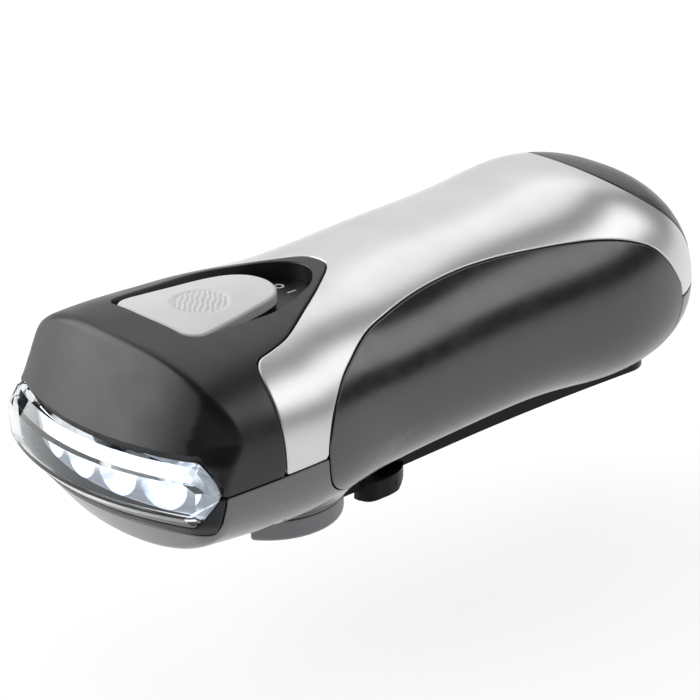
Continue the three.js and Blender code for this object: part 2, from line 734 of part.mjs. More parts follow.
function boss() {
  const cone = turnedSolid(0, hubY, [[0, bossBottom], [bossRadius, bossBottom],
    [bossRadius + bossFlare, bossBottom + bossFlareRise], [bossRadius + bossFlare, bossBottom + 2 * bossFlareRise],
    [0, bossBottom + 2 * bossFlareRise]], 40);
  const seat = rodSolid(0, hubY, 0, bushTop - flangeThickness - clearance, bushFlange + tubWall, 28);
  return cone.subtract(hollow).add(seat.intersect(cone));
}

const bushWay = () => rodSolid(0, hubY, 0, overrun, bushOuter + clearance, 28)
  .add(rodSolid(0, hubY, bushTop - flangeThickness - clearance, overrun, bushFlange + clearance, 28));

const boardSetback = 19.2;
const boardThickness = 1.4;
const boardHalf = headScrewX - postRadius - clearance;
const boardRoom = 3.8;
const boardBottom = partingHeight - 0.5486 * bellyDrop;
const boardTop = circuitBottom - boardRoom;
const ribWall = 1.2;
const ribHalf = 1.5;
const ribHold = 3;

// Two grooved ribs on the floor that hold the lamp board upright
function boardRibs() {
  const front = at(boardSetback) - clearance;
  const back = at(boardSetback + boardThickness) + clearance;
  const rib = (x) => boxSolid(x - ribHalf, x + ribHalf, front - ribWall, back + ribWall, 0, boardBottom + ribHold)
    .intersect(outer);
  const groove = boxSolid(-farX, farX, front, back, boardBottom - clearance, partingHeight);
  return rib(cupPitch).add(rib(-cupPitch)).subtract(groove);
}

// Two ribs on the floor that carry the mirror block
function mirrorRibs() {
  const rib = (x) => boxSolid(x - ribHalf, x + ribHalf, at(mirrorFront + lensThickness), at(mirrorBack), 0,
    cupHeight - cupMouth - mirrorRim - clearance).intersect(outer);
  return rib(cupPitch).add(rib(-cupPitch));
}

function bottomShell() {
  const walls = shell.intersect(lowerHalf);
  const roof = knobSweep(knobSweepGap + tubWall).intersect(outer);
  const added = [boss(), roof, boardRibs(), mirrorRibs(), ...screwPlaces.map(lowerPost)];
  const cuts = [bushWay(), knobSweep(knobSweepGap), gripSeatRight, gripSeatLeft, screwHoles, lensWindow(clearance),
    plateSeat()];
  return union([walls, ...added]).subtract(union(cuts));
}

// Head cover with its switch pocket

// Halves of the thumb cap and of its pocket seen from above, as shares of half width and length
const pocketHalfShares = [[0, -0.017], [0.86, 0], [1, 0.04], [1, 0.5], [0.93, 0.62], [0.56, 0.88], [0.27, 0.97],
  [0, 1]];
const capHalfShares = [[0, -0.015], [0.85, 0], [1, 0.08], [1, 0.15], [0.87, 0.44], [0.71, 0.74], [0.6, 0.87],
  [0.35, 0.965], [0, 1]];
const capHalf = 0.381 * halfWidth;
const capLength = 0.1866 * bodyLength;
const pocketHalf = capHalf + pocketSideGap;
const pocketLength = 0.2513 * bodyLength;
const pocketFrontY = at(0.1163 * bodyLength);

function teardrop(shares, half, frontY, length, margin) {
  const right = shares.map(([x, y]) => [x * half, frontY + y * length]);
  return offsetOutline([...right, ...mirrorX(right).slice(1, -1)], margin);
}

const pocketOutline = (margin) => teardrop(pocketHalfShares, pocketHalf, pocketFrontY, pocketLength, margin);
const capOutline = (margin) => teardrop(capHalfShares, capHalf, pocketFrontY + clearance, capLength, margin);

const stemY = at(0.2046 * bodyLength);
const stemHalf = 1.4;
const stemHalfLength = 2.5;
const stemDrop = 1.2;
const slotHalf = stemHalf + clearance;
const stemFoot = pocketFloor - pocketFloorThickness - stemDrop;

const circuitThickness = 1.4;
const circuitHalf = 13;
const circuitFront = 16;
const circuitBack = 57;
const circuitPostInset = 1.9;
const circuitPostX = pocketHalf - circuitPostInset;
const circuitPostSetback = 22;
const circuitPostRadius = 2.2;
const circuitScrewRadius = 0.9;
const circuitScrewHead = 1.8;
const circuitScrewHeadDepth = 1;
const circuitScrewLength = 6.5;
const circuitTop = circuitBottom + circuitThickness;

function circuitPosts() {
  const post = (x) => rodSolid(x, at(circuitPostSetback), circuitTop + clearance, pocketFloor, circuitPostRadius, 14);
  return post(circuitPostX).add(post(-circuitPostX)).intersect(outer);
}

function circuitScrewWays() {
  const top = circuitBottom + circuitScrewLength + clearance;
  const way = (x) => rodSolid(x, at(circuitPostSetback), 0, top, circuitScrewRadius + clearance, 10);
  return way(circuitPostX).add(way(-circuitPostX));
}

function headCover() {
  const walls = shell.intersect(upperHalf).intersect(raisedSolid(coverOutline(0), 0, farZ));
  const floorBottom = pocketFloor - pocketFloorThickness;
  const tub = raisedSolid(pocketOutline(pocketFloorThickness), floorBottom, farZ).intersect(outer);
  const pocket = raisedSolid(pocketOutline(0), pocketFloor, farZ);
  const slotFront = stemY - stemHalfLength - clearance;
  const slotBack = stemY + stemHalfLength + switchTravel + clearance;
  const slot = boxSolid(-slotHalf, slotHalf, slotFront, slotBack, floorBottom - overrun, pocketFloor + clearance);
  const posts = screwPlaces.slice(0, 2).flatMap((place) => [upperPost(place), postWeb(place)]);
  const inCover = union(posts).intersect(raisedSolid(coverOutline(0), 0, farZ));
  return union([walls, tub, inCover, circuitPosts()])
    .subtract(union([pocket, slot, screwHoles, circuitScrewWays(), lensWindow(clearance)]));
}

function topShell() {
  const walls = shell.intersect(upperHalf);
  const posts = screwPlaces.slice(2).flatMap((place) => [upperPost(place), postWeb(place)]);
  const cuts = [raisedSolid(coverOutline(clearance), 0, farZ), gripSeatRight, gripSeatLeft, inlaySeat,
    screwHoles];
  return union([walls, ...posts]).subtract(union(cuts));
}

const sideGrip = (side) => sidewaysSolid(gripOutline(0), side > 0 ? 0 : -farX, side > 0 ? farX : 0)
  .intersect(outer).subtract(underSkin);

const tailInlay = () => raisedSolid(inlayOutline(0), inlayBottom, farZ).intersect(outer).subtract(underSkin);

const lensAcrossShares = [1, 0.97, 0.937, 0.867, 0.7, 0.5, 0.25, 0];

// Lens: a clear visor, bent to the nose's arc, with bevelled edges that stand proud of the casing
function lens() {
  const places = [...lensAcrossShares.map((share) => -share), ...lensAcrossShares.slice(0, -1).reverse()];
  return loftSolid(places.map((share) => {
    const x = share * lensHalfWidth;
    const { top, bottom } = lensHalfHeight(x);
    const fade = Math.min((lensHalfWidth - Math.abs(x)) / lensEndBevel, 1);
    const front = lensArc(x);
    const back = front + lensThickness;
    const proud = front - lensProud * fade;
    const bevel = Math.min(lensBevel * fade, (top - bottom) / 3);
    return [[back, bottom], [front, bottom], [proud, bottom + bevel], [proud, top - bevel], [front, top],
      [back, top]].map(([setback, z]) => [x, at(setback), z]);
  }));
}

// Lamp cluster: mirror block with four cups, four lamps and their board

const cupPitch = 0.36 * lensHalfWidth;
const cupWall = 0.92;
const cupMouth = (cupPitch - cupWall) / 2;
const cupThroat = 2.9;
const cupDrop = 1;
const cupHeight = partingHeight - cupDrop;
const cupDepth = 7;
const mirrorRim = 0.6;
const mirrorFront = 4.6;
const mirrorBack = 15.6;
const mirrorHalf = 2.1 * cupPitch;
const lampRadius = 2.5;
const lampLength = 8.2;
const lampFlange = 2.75;
const lampFlangeLength = 1.2;
const lampLegRadius = 0.3;
const lampLegPitch = 1.27;
const cupPlaces = [-1.5, -0.5, 0.5, 1.5].map((n) => n * cupPitch);

function reflector() {
  const steps = 8;
  const bottom = cupHeight - cupMouth - mirrorRim;
  const top = cupHeight + cupMouth + mirrorRim;
  const frontEdge = Array.from({ length: steps + 1 }, (unused, i) => {
    const x = mirrorHalf * (2 * (i / steps) - 1);
    return [x, at(mirrorFront + lensArc(x))];
  });
  const outline = [...frontEdge, [mirrorHalf, at(mirrorBack)], [-mirrorHalf, at(mirrorBack)]];
  const block = raisedSolid(outline, bottom, top);
  const cups = cupPlaces.map((x) => {
    const mouth = at(mirrorFront + lensArc(x)) - mirrorRim;
    const throat = mouth + mirrorRim + cupDepth;
    return lengthRodSolid(x, mouth, throat, cupHeight, cupThroat, 20, cupMouth)
      .add(lengthRodSolid(x, throat - clearance, at(mirrorBack) + clearance, cupHeight, cupThroat, 20));
  });
  return block.subtract(union(cups));
}

function lamp(x) {
  const back = at(mirrorBack);
  const dome = back - lampLength + lampRadius;
  const steps = 4;
  const arc = Array.from({ length: steps + 1 }, (unused, i) => {
    const angle = (i / steps) * fullTurn / 4;
    return [lampRadius * Math.sin(angle), dome - lampRadius * Math.cos(angle)];
  });
  const flange = back - lampFlangeLength;
  const profile = [...arc, [lampRadius, flange], [lampFlange, flange], [lampFlange, back], [0, back]];
  const points = profile.map(([radius, y]) => new THREE.Vector2(radius, y));
  const body = toSolid(new THREE.LatheGeometry(points, 14).translate(x, 0, cupHeight));
  const leg = (side) => lengthRodSolid(x + side * lampLegPitch, back - clearance, at(boardSetback) - clearance,
    cupHeight, lampLegRadius, 6);
  return body.add(leg(1)).add(leg(-1));
}

function lampBoard() {
  return boxSolid(-boardHalf, boardHalf, at(boardSetback), at(boardSetback + boardThickness), boardBottom,
    boardTop);
}

// Switch: a thumb cap on a black slider whose stem works the slide switch below

const capSplit = pocketFloor + pocketDepth;

function switchCap() {
  return raisedSolid(capOutline(0), capSplit, farZ).intersect(crownSolid(capSunk));
}

function switchSlider() {
  const bottom = pocketFloor + clearance;
  const plate = raisedSolid(capOutline(-clearance), bottom, capSplit - clearance);
  const stem = boxSolid(-stemHalf, stemHalf, stemY - stemHalfLength, stemY + stemHalfLength, stemFoot,
    bottom + clearance);
  return plate.add(stem);
}

const switchBodyHalf = 3.4;
const switchBodyHalfLength = 7.5;
const switchBodyDrop = 4;
const switchBodyTop = pocketFloor - switchBodyDrop;
const switchBodyFloor = 2;
const nubHalfLength = 1.6;
const nubHalf = 1.1;

function slideSwitchBody() {
  const low = circuitTop + clearance;
  const middle = stemY + switchTravel / 2;
  const body = boxSolid(-switchBodyHalf, switchBodyHalf, middle - switchBodyHalfLength,
    middle + switchBodyHalfLength, low, switchBodyTop);
  const slot = boxSolid(-nubHalf - clearance, nubHalf + clearance, stemY - nubHalfLength - clearance,
    stemY + switchTravel + nubHalfLength + clearance, low + switchBodyFloor, switchBodyTop + clearance);
  return body.subtract(slot);
}

function slideSwitchNub() {
  const low = circuitTop + switchBodyFloor + 2 * clearance;
  return boxSolid(-nubHalf, nubHalf, stemY - nubHalfLength, stemY + nubHalfLength, low, stemFoot - clearance);
}

function circuitBoard() {
  const board = boxSolid(-circuitHalf, circuitHalf, at(circuitFront), at(circuitBack), circuitBottom,
    circuitTop);
  return board.subtract(circuitScrewWays());
}

function circuitScrew(side) {
  const head = circuitBottom - clearance;
  const foot = head - circuitScrewHeadDepth;
  const tip = head + circuitScrewLength;
  return turnedSolid(side * circuitPostX, at(circuitPostSetback), [[0, foot], [circuitScrewHead, foot],
    [circuitScrewHead, head], [circuitScrewRadius, head], [circuitScrewRadius, tip], [0, tip]], 12);
}

// Gearbox

const tipShare = 0.85;
const rootShare = 1.15;
const toothHalfShares = [0.13, 0.33];

function gearOutline([x, y], teeth, module, phase) {
  const pitch = pitchRadius(teeth, module);
  const tip = pitch + tipShare * module;
  const root = pitch - rootShare * module;
  const tooth = fullTurn / teeth;
  const [tipHalf, rootHalf] = toothHalfShares;
  const corners = [[-rootHalf, root], [-tipHalf, tip], [tipHalf, tip], [rootHalf, root]];
  return Array.from({ length: teeth }, (unused, i) => corners.map(([share, radius]) => {
    const angle = phase + (i + share) * tooth;
    return [x + radius * Math.cos(angle), y + radius * Math.sin(angle)];
  })).flat();
}

const bearing = (from, to) => Math.atan2(to[1] - from[1], to[0] - from[0]);

// Phase of a gear whose tooth gap faces the tooth of the gear that drives it
function meshedPhase(from, to, fromPhase, fromTeeth, toTeeth) {
  const line = bearing(from, to);
  const fromShare = ((line - fromPhase) * fromTeeth) / fullTurn;
  const toShare = 0.5 - fromShare;
  return line + Math.PI - (toShare * fullTurn) / toTeeth;
}

const firstPhase = meshedPhase(hubPlace, firstPlace, 0, driveTeeth, pinionTeeth);
const secondPhase = meshedPhase(firstPlace, secondPlace, firstPhase, idlerTeeth, pinionTeeth);
const rotorPhase = meshedPhase(secondPlace, rotorPlace, secondPhase, idlerTeeth, pinionTeeth);
const idlerPinRadius = 1;
const wheelLevel = gearLevel + wheelRise;
const upperLevel = wheelLevel + wheelRise;

const gearHubRise = 1.5;
const gearHubWall = 2.4;

function driveGear() {
  const outline = gearOutline(hubPlace, driveTeeth, gearModule, 0);
  const hub = rodSolid(0, hubY, gearLevel - clearance, gearLevel + gearFace + gearHubRise, shaftRadius + gearHubWall,
    20);
  const bore = rodSolid(0, hubY, 0, overrun + overrun, shaftRadius + clearance, 20);
  return raisedSolid(outline, gearLevel, gearLevel + gearFace).add(hub).subtract(bore);
}

// A pinion and a wheel moulded as one, turning on a fixed pin
function compoundGear(place, level, wheelModule, phase) {
  const pinion = raisedSolid(gearOutline(place, pinionTeeth, gearModule, phase), level,
    level + wheelRise + clearance);
  const wheel = raisedSolid(gearOutline(place, idlerTeeth, wheelModule, phase), level + wheelRise,
    level + wheelRise + wheelFace);
  const bore = rodSolid(place[0], place[1], 0, coverLevel, idlerPinRadius + clearance, 14);
  return pinion.add(wheel).subtract(bore);
}

function idlerPin(place) {
  return rodSolid(place[0], place[1], plateLevel + clearance, coverLevel + plateThickness, idlerPinRadius, 12);
}

const gearboxPostRadius = 2.2;
const cupOuter = 12.2;
const rearPostX = 9.5;
const rearReach = cupOuter + gearboxPostRadius + clearance;
const rearPostY = rotorPlace[1] + Math.sqrt(rearReach ** 2 - rearPostX ** 2);
const frontPostSlant = 0.866;
const frontReach = ((driveTeeth / 2 + tipShare) * gearModule) + gearboxPostRadius + clearance;
const frontPostX = frontReach * Math.sin(frontPostSlant);
const frontPostY = hubY - frontReach * Math.cos(frontPostSlant);
const gearboxPosts = [
  [frontPostX, frontPostY],
  [rotorPlace[0] - rearPostX, rearPostY],
  [rotorPlace[0] + rearPostX, rearPostY],
];
const gearboxScrewRadius = 0.9;
const gearboxScrewHead = 1.9;
const gearboxScrewHeadDepth = 1.1;
const gearboxScrewLength = 8;
const plateHalf = 11;

function plateOutline(margin) {
  const front = frontPostY - gearboxPostRadius;
  const back = rearPostY + gearboxPostRadius;
  const wide = frontPostX + gearboxPostRadius;
  const rear = rotorPlace[0] + rearPostX + gearboxPostRadius;
  const half = [[plateHalf / 2, front - gearboxPostRadius], [wide, front], [wide, frontPostY + gearboxPostRadius],
    [plateHalf, hubY], [plateHalf, firstPlace[1]], [rear, rearPostY - gearboxPostRadius], [rear, back]];
  return offsetOutline([...half, ...mirrorX(half)], margin);
}

const bushWayRadius = bushFlange + 2 * clearance;

const rotorShaftRadius = 1;
const rotorFloat = 0.8;
const rotorBottom = coverLevel + plateThickness + rotorFloat;
const rotorHeight = 8;
const rotorRadius = 6.2;
const coilInner = 7;
const coilOuter = 11.1;
const cupFloor = 1;

const plateHoles = (z0, z1) => union([
  rodSolid(0, hubY, z0, z1, bushWayRadius, 24),
  ...[firstPlace, secondPlace].map(([x, y]) => rodSolid(x, y, z0, z1, idlerPinRadius + clearance, 12)),
  rodSolid(rotorPlace[0], rotorPlace[1], z0, z1, rotorShaftRadius + clearance, 12),
]);

function gearboxFrame() {
  const plate = raisedSolid(plateOutline(0), plateLevel, plateLevel + plateThickness);
  const post = ([x, y]) => rodSolid(x, y, plateLevel, coverLevel - clearance, gearboxPostRadius, 14);
  const wayFloor = coverLevel - gearboxScrewLength;
  const way = ([x, y]) => rodSolid(x, y, wayFloor, coverLevel, gearboxScrewRadius + clearance, 10);
  const body = union([plate, ...gearboxPosts.map(post)]).intersect(crownSolid(wallThickness + clearance, 28));
  const holes = plateHoles(plateLevel + clearance, plateLevel + overrun).intersect(
    boxSolid(-farX, farX, -farY, farY, 0, plateLevel + plateThickness + clearance),
  );
  const hubWay = rodSolid(0, hubY, 0, plateLevel + 2 * plateThickness, bushWayRadius, 24);
  return body.subtract(union([holes, hubWay, ...gearboxPosts.map(way)]));
}

// Ledge cut in the floor so the gearbox plate beds on it
const plateSeat = () => raisedSolid(plateOutline(clearance), plateLevel - clearance, partingHeight)
  .intersect(hollow);

function gearboxCover() {
  const plate = raisedSolid(plateOutline(0), coverLevel, coverLevel + plateThickness)
    .add(rodSolid(rotorPlace[0], rotorPlace[1], coverLevel, coverLevel + plateThickness, cupOuter, 32));
  const shaftWay = rodSolid(0, hubY, 0, coverLevel + overrun, shaftNeck + clearance, 16);
  const pinWays = [firstPlace, secondPlace].map(([x, y]) => rodSolid(x, y, 0, coverLevel + overrun,
    idlerPinRadius + clearance, 12));
  const rotorWay = rodSolid(rotorPlace[0], rotorPlace[1], 0, coverLevel + overrun, rotorShaftRadius + clearance, 12);
  const screwWays = gearboxPosts.map(([x, y]) => rodSolid(x, y, 0, coverLevel + overrun,
    gearboxScrewRadius + clearance, 10));
  return plate.subtract(union([shaftWay, ...pinWays, rotorWay, ...screwWays]));
}

function gearboxScrew([x, y]) {
  const head = coverLevel + plateThickness + clearance;
  const foot = coverLevel + plateThickness - gearboxScrewLength;
  const top = head + gearboxScrewHeadDepth;
  return turnedSolid(x, y, [[0, foot], [gearboxScrewRadius, foot], [gearboxScrewRadius, head],
    [gearboxScrewHead, head], [gearboxScrewHead, top], [0, top]], 12);
}

// Generator

function rotorShaft() {
  return rodSolid(rotorPlace[0], rotorPlace[1], plateLevel + clearance, rotorBottom + rotorHeight + rotorShaftRadius,
    rotorShaftRadius, 12);
}

function rotorPinion() {
  const outline = gearOutline(rotorPlace, pinionTeeth, rotorModule, rotorPhase);
  const bore = rodSolid(rotorPlace[0], rotorPlace[1], 0, coverLevel, rotorShaftRadius + clearance, 12);
  return raisedSolid(outline, upperLevel, upperLevel + wheelFace + clearance).subtract(bore);
}

function ring([x, y], inner, outside, z0, z1, sides = 28) {
  return turnedSolid(x, y, [[inner, z0], [outside, z0], [outside, z1], [inner, z1], [inner, z0]], sides);
}

const rotorMagnet = () => ring(rotorPlace, rotorShaftRadius + clearance, rotorRadius, rotorBottom,
  rotorBottom + rotorHeight);

const statorBottom = coverLevel + plateThickness + clearance;
const statorTop = rotorBottom + rotorHeight + rotorFloat;
const statorMiddle = (statorBottom + statorTop) / 2;

const statorCoil = () => ring(rotorPlace, coilInner, coilOuter, statorBottom + cupFloor + clearance,
  statorTop - cupFloor - clearance, 32);

// Half of the iron shell round the coil
function statorCup(low, high, floorLow, floorHigh) {
  const floor = ring(rotorPlace, coilInner, cupOuter, floorLow, floorHigh, 32);
  return ring(rotorPlace, coilOuter + clearance, cupOuter, low, high, 32).add(floor);
}

const lowerCup = () => statorCup(statorBottom, statorMiddle - clearance / 2, statorBottom,
  statorBottom + cupFloor);
const upperCup = () => statorCup(statorMiddle + clearance / 2, statorTop, statorTop - cupFloor,
  statorTop);

// Battery

const cellRadius = 7.8;
const cellLength = 5.8;
const cellCentre = knobTop + knobSweepGap + tubWall + clearance + cellRadius;
const trayWall = 1;
const trayTop = cellCentre - 2 * trayWall;
const trayHalf = cellRadius + trayWall;
const trayFrontY = rearPostY + gearboxPostRadius + 3 * clearance;
const cellFrontY = trayFrontY + trayWall + clearance;
const trayBackY = cellFrontY + 3 * (cellLength + clearance) + trayWall;

function batteryHolder() {
  const low = cellCentre - cellRadius - clearance - trayWall;
  const front = trayFrontY + trayWall;
  const back = trayBackY - trayWall;
  const plate = boxSolid(-trayHalf, trayHalf, trayFrontY, trayBackY, low, trayTop);
  const foot = (x) => boxSolid(x - trayWall, x + trayWall, trayFrontY, trayBackY, 0, low + clearance);
  const room = boxSolid(-farX, farX, front, back, low - clearance, farZ)
    .intersect(lengthRodSolid(0, front - overrun, back + overrun, cellCentre, cellRadius + clearance, 24));
  return plate.add(foot(trayHalf / 2)).add(foot(-trayHalf / 2)).subtract(room)
    .subtract(knobSweep(knobSweepGap + tubWall + clearance))
    .intersect(crownSolid(wallThickness + clearance, 28));
}

function batteryCell(n) {
  const front = cellFrontY + n * (cellLength + clearance);
  return lengthRodSolid(0, front, front + cellLength, cellCentre, cellRadius, 24);
}

// Insulated leads, each an unbroken tube along a smooth curve
const leadRadius = 0.6;

function lead(points) {
  const curve = new THREE.CatmullRomCurve3(points.map(([x, y, z]) => new THREE.Vector3(x, y, z)));
  const section = new THREE.Shape(circle(0, 0, leadRadius, 8).map(([x, y]) => new THREE.Vector2(x, y)));
  const geometry = new THREE.ExtrudeGeometry(section, { steps: 14, bevelEnabled: false, extrudePath: curve });
  return toSolid(geometry);
}

const leadGap = leadRadius + clearance;

function lampLead() {
  const start = at(boardSetback + boardThickness) + leadRadius;
  const bend = start + 4 * leadRadius;
  const end = bend + 2 * leadRadius;
  return lead([[cupPitch / 2, start, cupHeight], [cupPitch / 2, bend, cupHeight + 2 * leadRadius],
    [cupPitch / 2, end, circuitBottom - 3 * leadGap], [cupPitch / 2, end, circuitBottom - clearance]]);
}

// From the first cell up over the generator to the circuit board
function batteryLead() {
  const x = -3 * leadGap;
  const high = statorTop + 2 * leadGap;
  const rise = cellFrontY - 2 * leadGap;
  const statorBackY = rotorPlace[1] + cupOuter;
  const landing = at(circuitBack) - 2 * leadGap;
  return lead([[x, cellFrontY - leadGap, trayTop + 4 * leadGap], [x, rise, trayTop + 6 * leadGap],
    [x, rise, high - 4 * leadGap], [x, statorBackY, high], [x, rotorPlace[1], high],
    [x, rotorPlace[1] - cupOuter, high], [x, landing + leadGap, circuitTop + 2 * leadGap],
    [x, landing, circuitTop + clearance]]);
}

function generatorLead() {
  const x = 3 * leadGap;
  const level = (coverLevel + plateThickness + circuitBottom) / 2;
  const start = rotorPlace[1] - cupOuter - leadGap;
  const landing = at(circuitBack) - 4 * leadGap;
  return lead([[x, start, level], [x, start - 2 * leadGap, level], [x, landing + leadGap, level],
    [x, landing, circuitBottom - clearance]]);
}

function caseScrew({ x, y }) {
  const head = screwSeat - clearance;
  return turnedSolid(x, y, [[0, head - screwHeadDepth], [screwHeadRadius, head - screwHeadDepth],
    [screwHeadRadius, head], [screwRadius, head], [screwRadius, screwSeat + screwLength],
    [0, screwSeat + screwLength]], 16);
}

// Names and places

add('bottom_shell', bottomShell(), shellGrey);
add('top_shell', topShell(), satinSilver);
add('head_cover', headCover(), coverBlack);
add('side_grip_right', sideGrip(1), gripBlack);
add('side_grip_left', sideGrip(-1), gripBlack);
add('tail_inlay', tailInlay(), inlayGrey);
add('lens', lens(), clear);
add('reflector', reflector(), mirrorFinish);
cupPlaces.forEach((x, i) => add(`lamp_${i + 1}`, lamp(x), whitePlastic));
add('lamp_board', lampBoard(), boardGreen);
add('switch_cap', switchCap(), capGrey);
add('switch_slider', switchSlider(), armBlack);
add('slide_switch_body', slideSwitchBody(), steel);
add('slide_switch_nub', slideSwitchNub(), armBlack);
add('circuit_board', circuitBoard(), boardGreen);
add('circuit_screw_right', circuitScrew(1), steel);
add('circuit_screw_left', circuitScrew(-1), steel);
add('crank_bush', crankBush(), whitePlastic);
add('crank_shaft', crankShaft(), steel);
add('shaft_clip', shaftClip(), steel);
add('crank_yoke', crankYoke(), armBlack);
add('hub_cap', hubCap(), hubGrey);
add('hub_screw', hubScrew(), steel);
add('hinge_pin', hingePin(), steel);
add('crank_arm', crankArm(), armBlack);
add('crank_knob', crankKnob(), armBlack);
add('knob_axle', knobAxle(), steel);
add('drive_gear', driveGear(), whitePlastic);
add('idler_gear_1', compoundGear(firstPlace, gearLevel, gearModule, firstPhase), whitePlastic);
add('idler_gear_2', compoundGear(secondPlace, wheelLevel, rotorModule, secondPhase), whitePlastic);
add('idler_pin_1', idlerPin(firstPlace), steel);
add('idler_pin_2', idlerPin(secondPlace), steel);
add('gearbox_frame', gearboxFrame(), armBlack);
add('gearbox_cover', gearboxCover(), armBlack);
gearboxPosts.forEach((place, i) => add(`gearbox_screw_${i + 1}`, gearboxScrew(place), steel));
add('rotor_shaft', rotorShaft(), steel);
add('rotor_pinion', rotorPinion(), steel);
add('rotor_magnet', rotorMagnet(), inlayGrey);
add('stator_coil', statorCoil(), copper);
add('stator_cup_lower', lowerCup(), steel);
add('stator_cup_upper', upperCup(), steel);
add('battery_holder', batteryHolder(), armBlack);
[0, 1, 2].forEach((n) => add(`battery_cell_${n + 1}`, batteryCell(n), steel));
add('lamp_lead', lampLead(), gripBlack);
add('battery_lead', batteryLead(), leadRed);
add('generator_lead', generatorLead(), gripBlack);
screwPlaces.forEach((place) => add(`case_screw_${place.side}`, caseScrew(place), steel));

export default part;
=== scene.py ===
# Hand crank flashlight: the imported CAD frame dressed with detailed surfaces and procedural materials.
import math

import bmesh
import bpy
import numpy as np
from mathutils import Matrix, Vector
from mathutils.geometry import tessellate_polygon


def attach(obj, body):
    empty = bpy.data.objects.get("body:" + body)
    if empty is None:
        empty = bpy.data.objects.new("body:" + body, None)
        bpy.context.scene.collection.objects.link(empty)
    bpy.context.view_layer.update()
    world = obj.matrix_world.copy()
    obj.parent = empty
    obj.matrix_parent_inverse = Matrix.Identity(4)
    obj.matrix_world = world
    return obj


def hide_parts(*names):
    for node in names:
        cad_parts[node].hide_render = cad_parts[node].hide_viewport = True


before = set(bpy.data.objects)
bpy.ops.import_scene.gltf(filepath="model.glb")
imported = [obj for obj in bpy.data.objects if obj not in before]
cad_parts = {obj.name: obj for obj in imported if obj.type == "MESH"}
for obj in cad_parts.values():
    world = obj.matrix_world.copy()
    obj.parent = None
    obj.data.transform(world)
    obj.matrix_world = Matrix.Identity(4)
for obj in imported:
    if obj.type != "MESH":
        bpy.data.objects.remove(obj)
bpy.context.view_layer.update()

MM = 0.001
# Sizes in millimetres, as in the part's source. Places are (x, setback from the nose, height).
LENGTH = 139.3
HALF = 28.1  # half the casing's width
PARTING = 23.0  # height of the seam between the shells
CROWN = 25.5  # the crown's rise above the seam
BELLY = 17.5  # the belly's drop below it
SIDE_POWER = 2.41  # exponents of the rounded sections
ROUND_POWER = 2.15
NOSE_Y = -68.65  # setback 0 in the frame
HUB_S = 41.9
HINGE_S = 62.2
KNOB_S = 128.2
TIP_S = 134.6
BOSS_R = 13.3  # the foot ring round the crank's bearing
BOSS_H = 4.5
LENS_LOW = 17.4
LENS_HIGH = 28.4
LENS_ARC_R = 51.9
LAMP_H = 22.0
POCKET_FLOOR = 41.0
SCREW_HOLE_R = 2.7
SCREW_HOLE_TOP = 13.0


def columns(*parts):
    """Stacks coordinates into one row per point."""
    return np.stack(parts, axis=-1)


def unit(v):
    """Scales each row to length 1."""
    return v / (np.linalg.norm(v, axis=-1, keepdims=True) + 1e-12)


def quarter(steps):
    """Angles over a quarter turn."""
    return np.linspace(0, math.pi / 2, steps)


def frame_place(points):
    """Turns (x, setback, height) in mm into the frame's metres."""
    return (np.asarray(points, float) + [0, NOSE_Y, 0]) * MM


# ---- the casing's outer surface

def smooth_curve(xs, ys):
    """A cubic curve through the values ys at xs."""
    xs = np.array(xs, float)
    ys = np.array(ys, float)
    n = len(xs)
    after = np.minimum(np.arange(n) + 1, n - 1)
    before = np.maximum(np.arange(n) - 1, 0)
    slope = (ys[after] - ys[before]) / (xs[after] - xs[before])

    def value(q):
        q = np.asarray(q, float)
        i = np.clip(np.searchsorted(xs, q, side="right") - 1, 0, n - 2)
        span = xs[i + 1] - xs[i]
        t = (q - xs[i]) / span
        rise = ys[i + 1] - ys[i]
        bend = slope[i] * span - rise
        back = rise - slope[i + 1] * span
        return ys[i] + t * rise + t * (1 - t) * ((1 - t) * bend + t * back)
    return value


STATIONS = [-0.06, 0.03, 0.224, 0.37, 0.515, 0.66, 0.806, 1]
width_at = smooth_curve(STATIONS, [0.989, 0.989, 1, 0.897, 0.851, 0.84, 0.872, 0.915])
crown_at = smooth_curve(STATIONS, [0.52, 0.815, 0.864, 0.839, 0.894, 0.933, 1, 0.945])
belly_at = smooth_curve(STATIONS, [0.8, 0.863, 1, 0.897, 0.846, 0.834, 0.966, 1.126])
TAIL_S = 0.7286 * LENGTH
HULL_END = 118  # where the surface's rows begin to close in on the tail


def fullness(s):
    """1 along the casing, falling to 0 over the tail."""
    run = np.clip((s - TAIL_S) / (LENGTH - TAIL_S), 0, 1)
    return np.clip(1 - run ** 2.48, 0, 1)


def half_width(s):
    return HALF * width_at(s / LENGTH)


def rise_at(s, above):
    """How far the section goes up or down from the seam."""
    return np.where(above, CROWN * crown_at(s / LENGTH), BELLY * belly_at(s / LENGTH))


def power_at(s, above):
    """The crown's section grows squarer towards the nose."""
    run = np.clip(1 - s / LENGTH / 0.323, 0, 1)
    return np.where(above, ROUND_POWER + 0.85 * run * run * (3 - 2 * run), ROUND_POWER)


def body(th, s):
    """The casing's (x, height) at an angle round the seam's axis."""
    c = np.cos(th)
    n = np.sin(th)
    g = fullness(s)
    x = half_width(s) * g ** (1 / SIDE_POWER) * np.sign(c) * np.abs(c) ** (2 / SIDE_POWER)
    r = rise_at(s, n > 0) * g ** (1 / ROUND_POWER)
    return x, PARTING + r * np.sign(n) * np.abs(n) ** (2 / power_at(s, n > 0))


def inside(x, s, h):
    """About how far a place lies inside the casing's sides, in mm."""
    above = h > PARTING
    value = (fullness(s) - (np.abs(x) / half_width(s)) ** SIDE_POWER
             - (np.abs(h - PARTING) / rise_at(s, above)) ** power_at(s, above))
    return value * 8


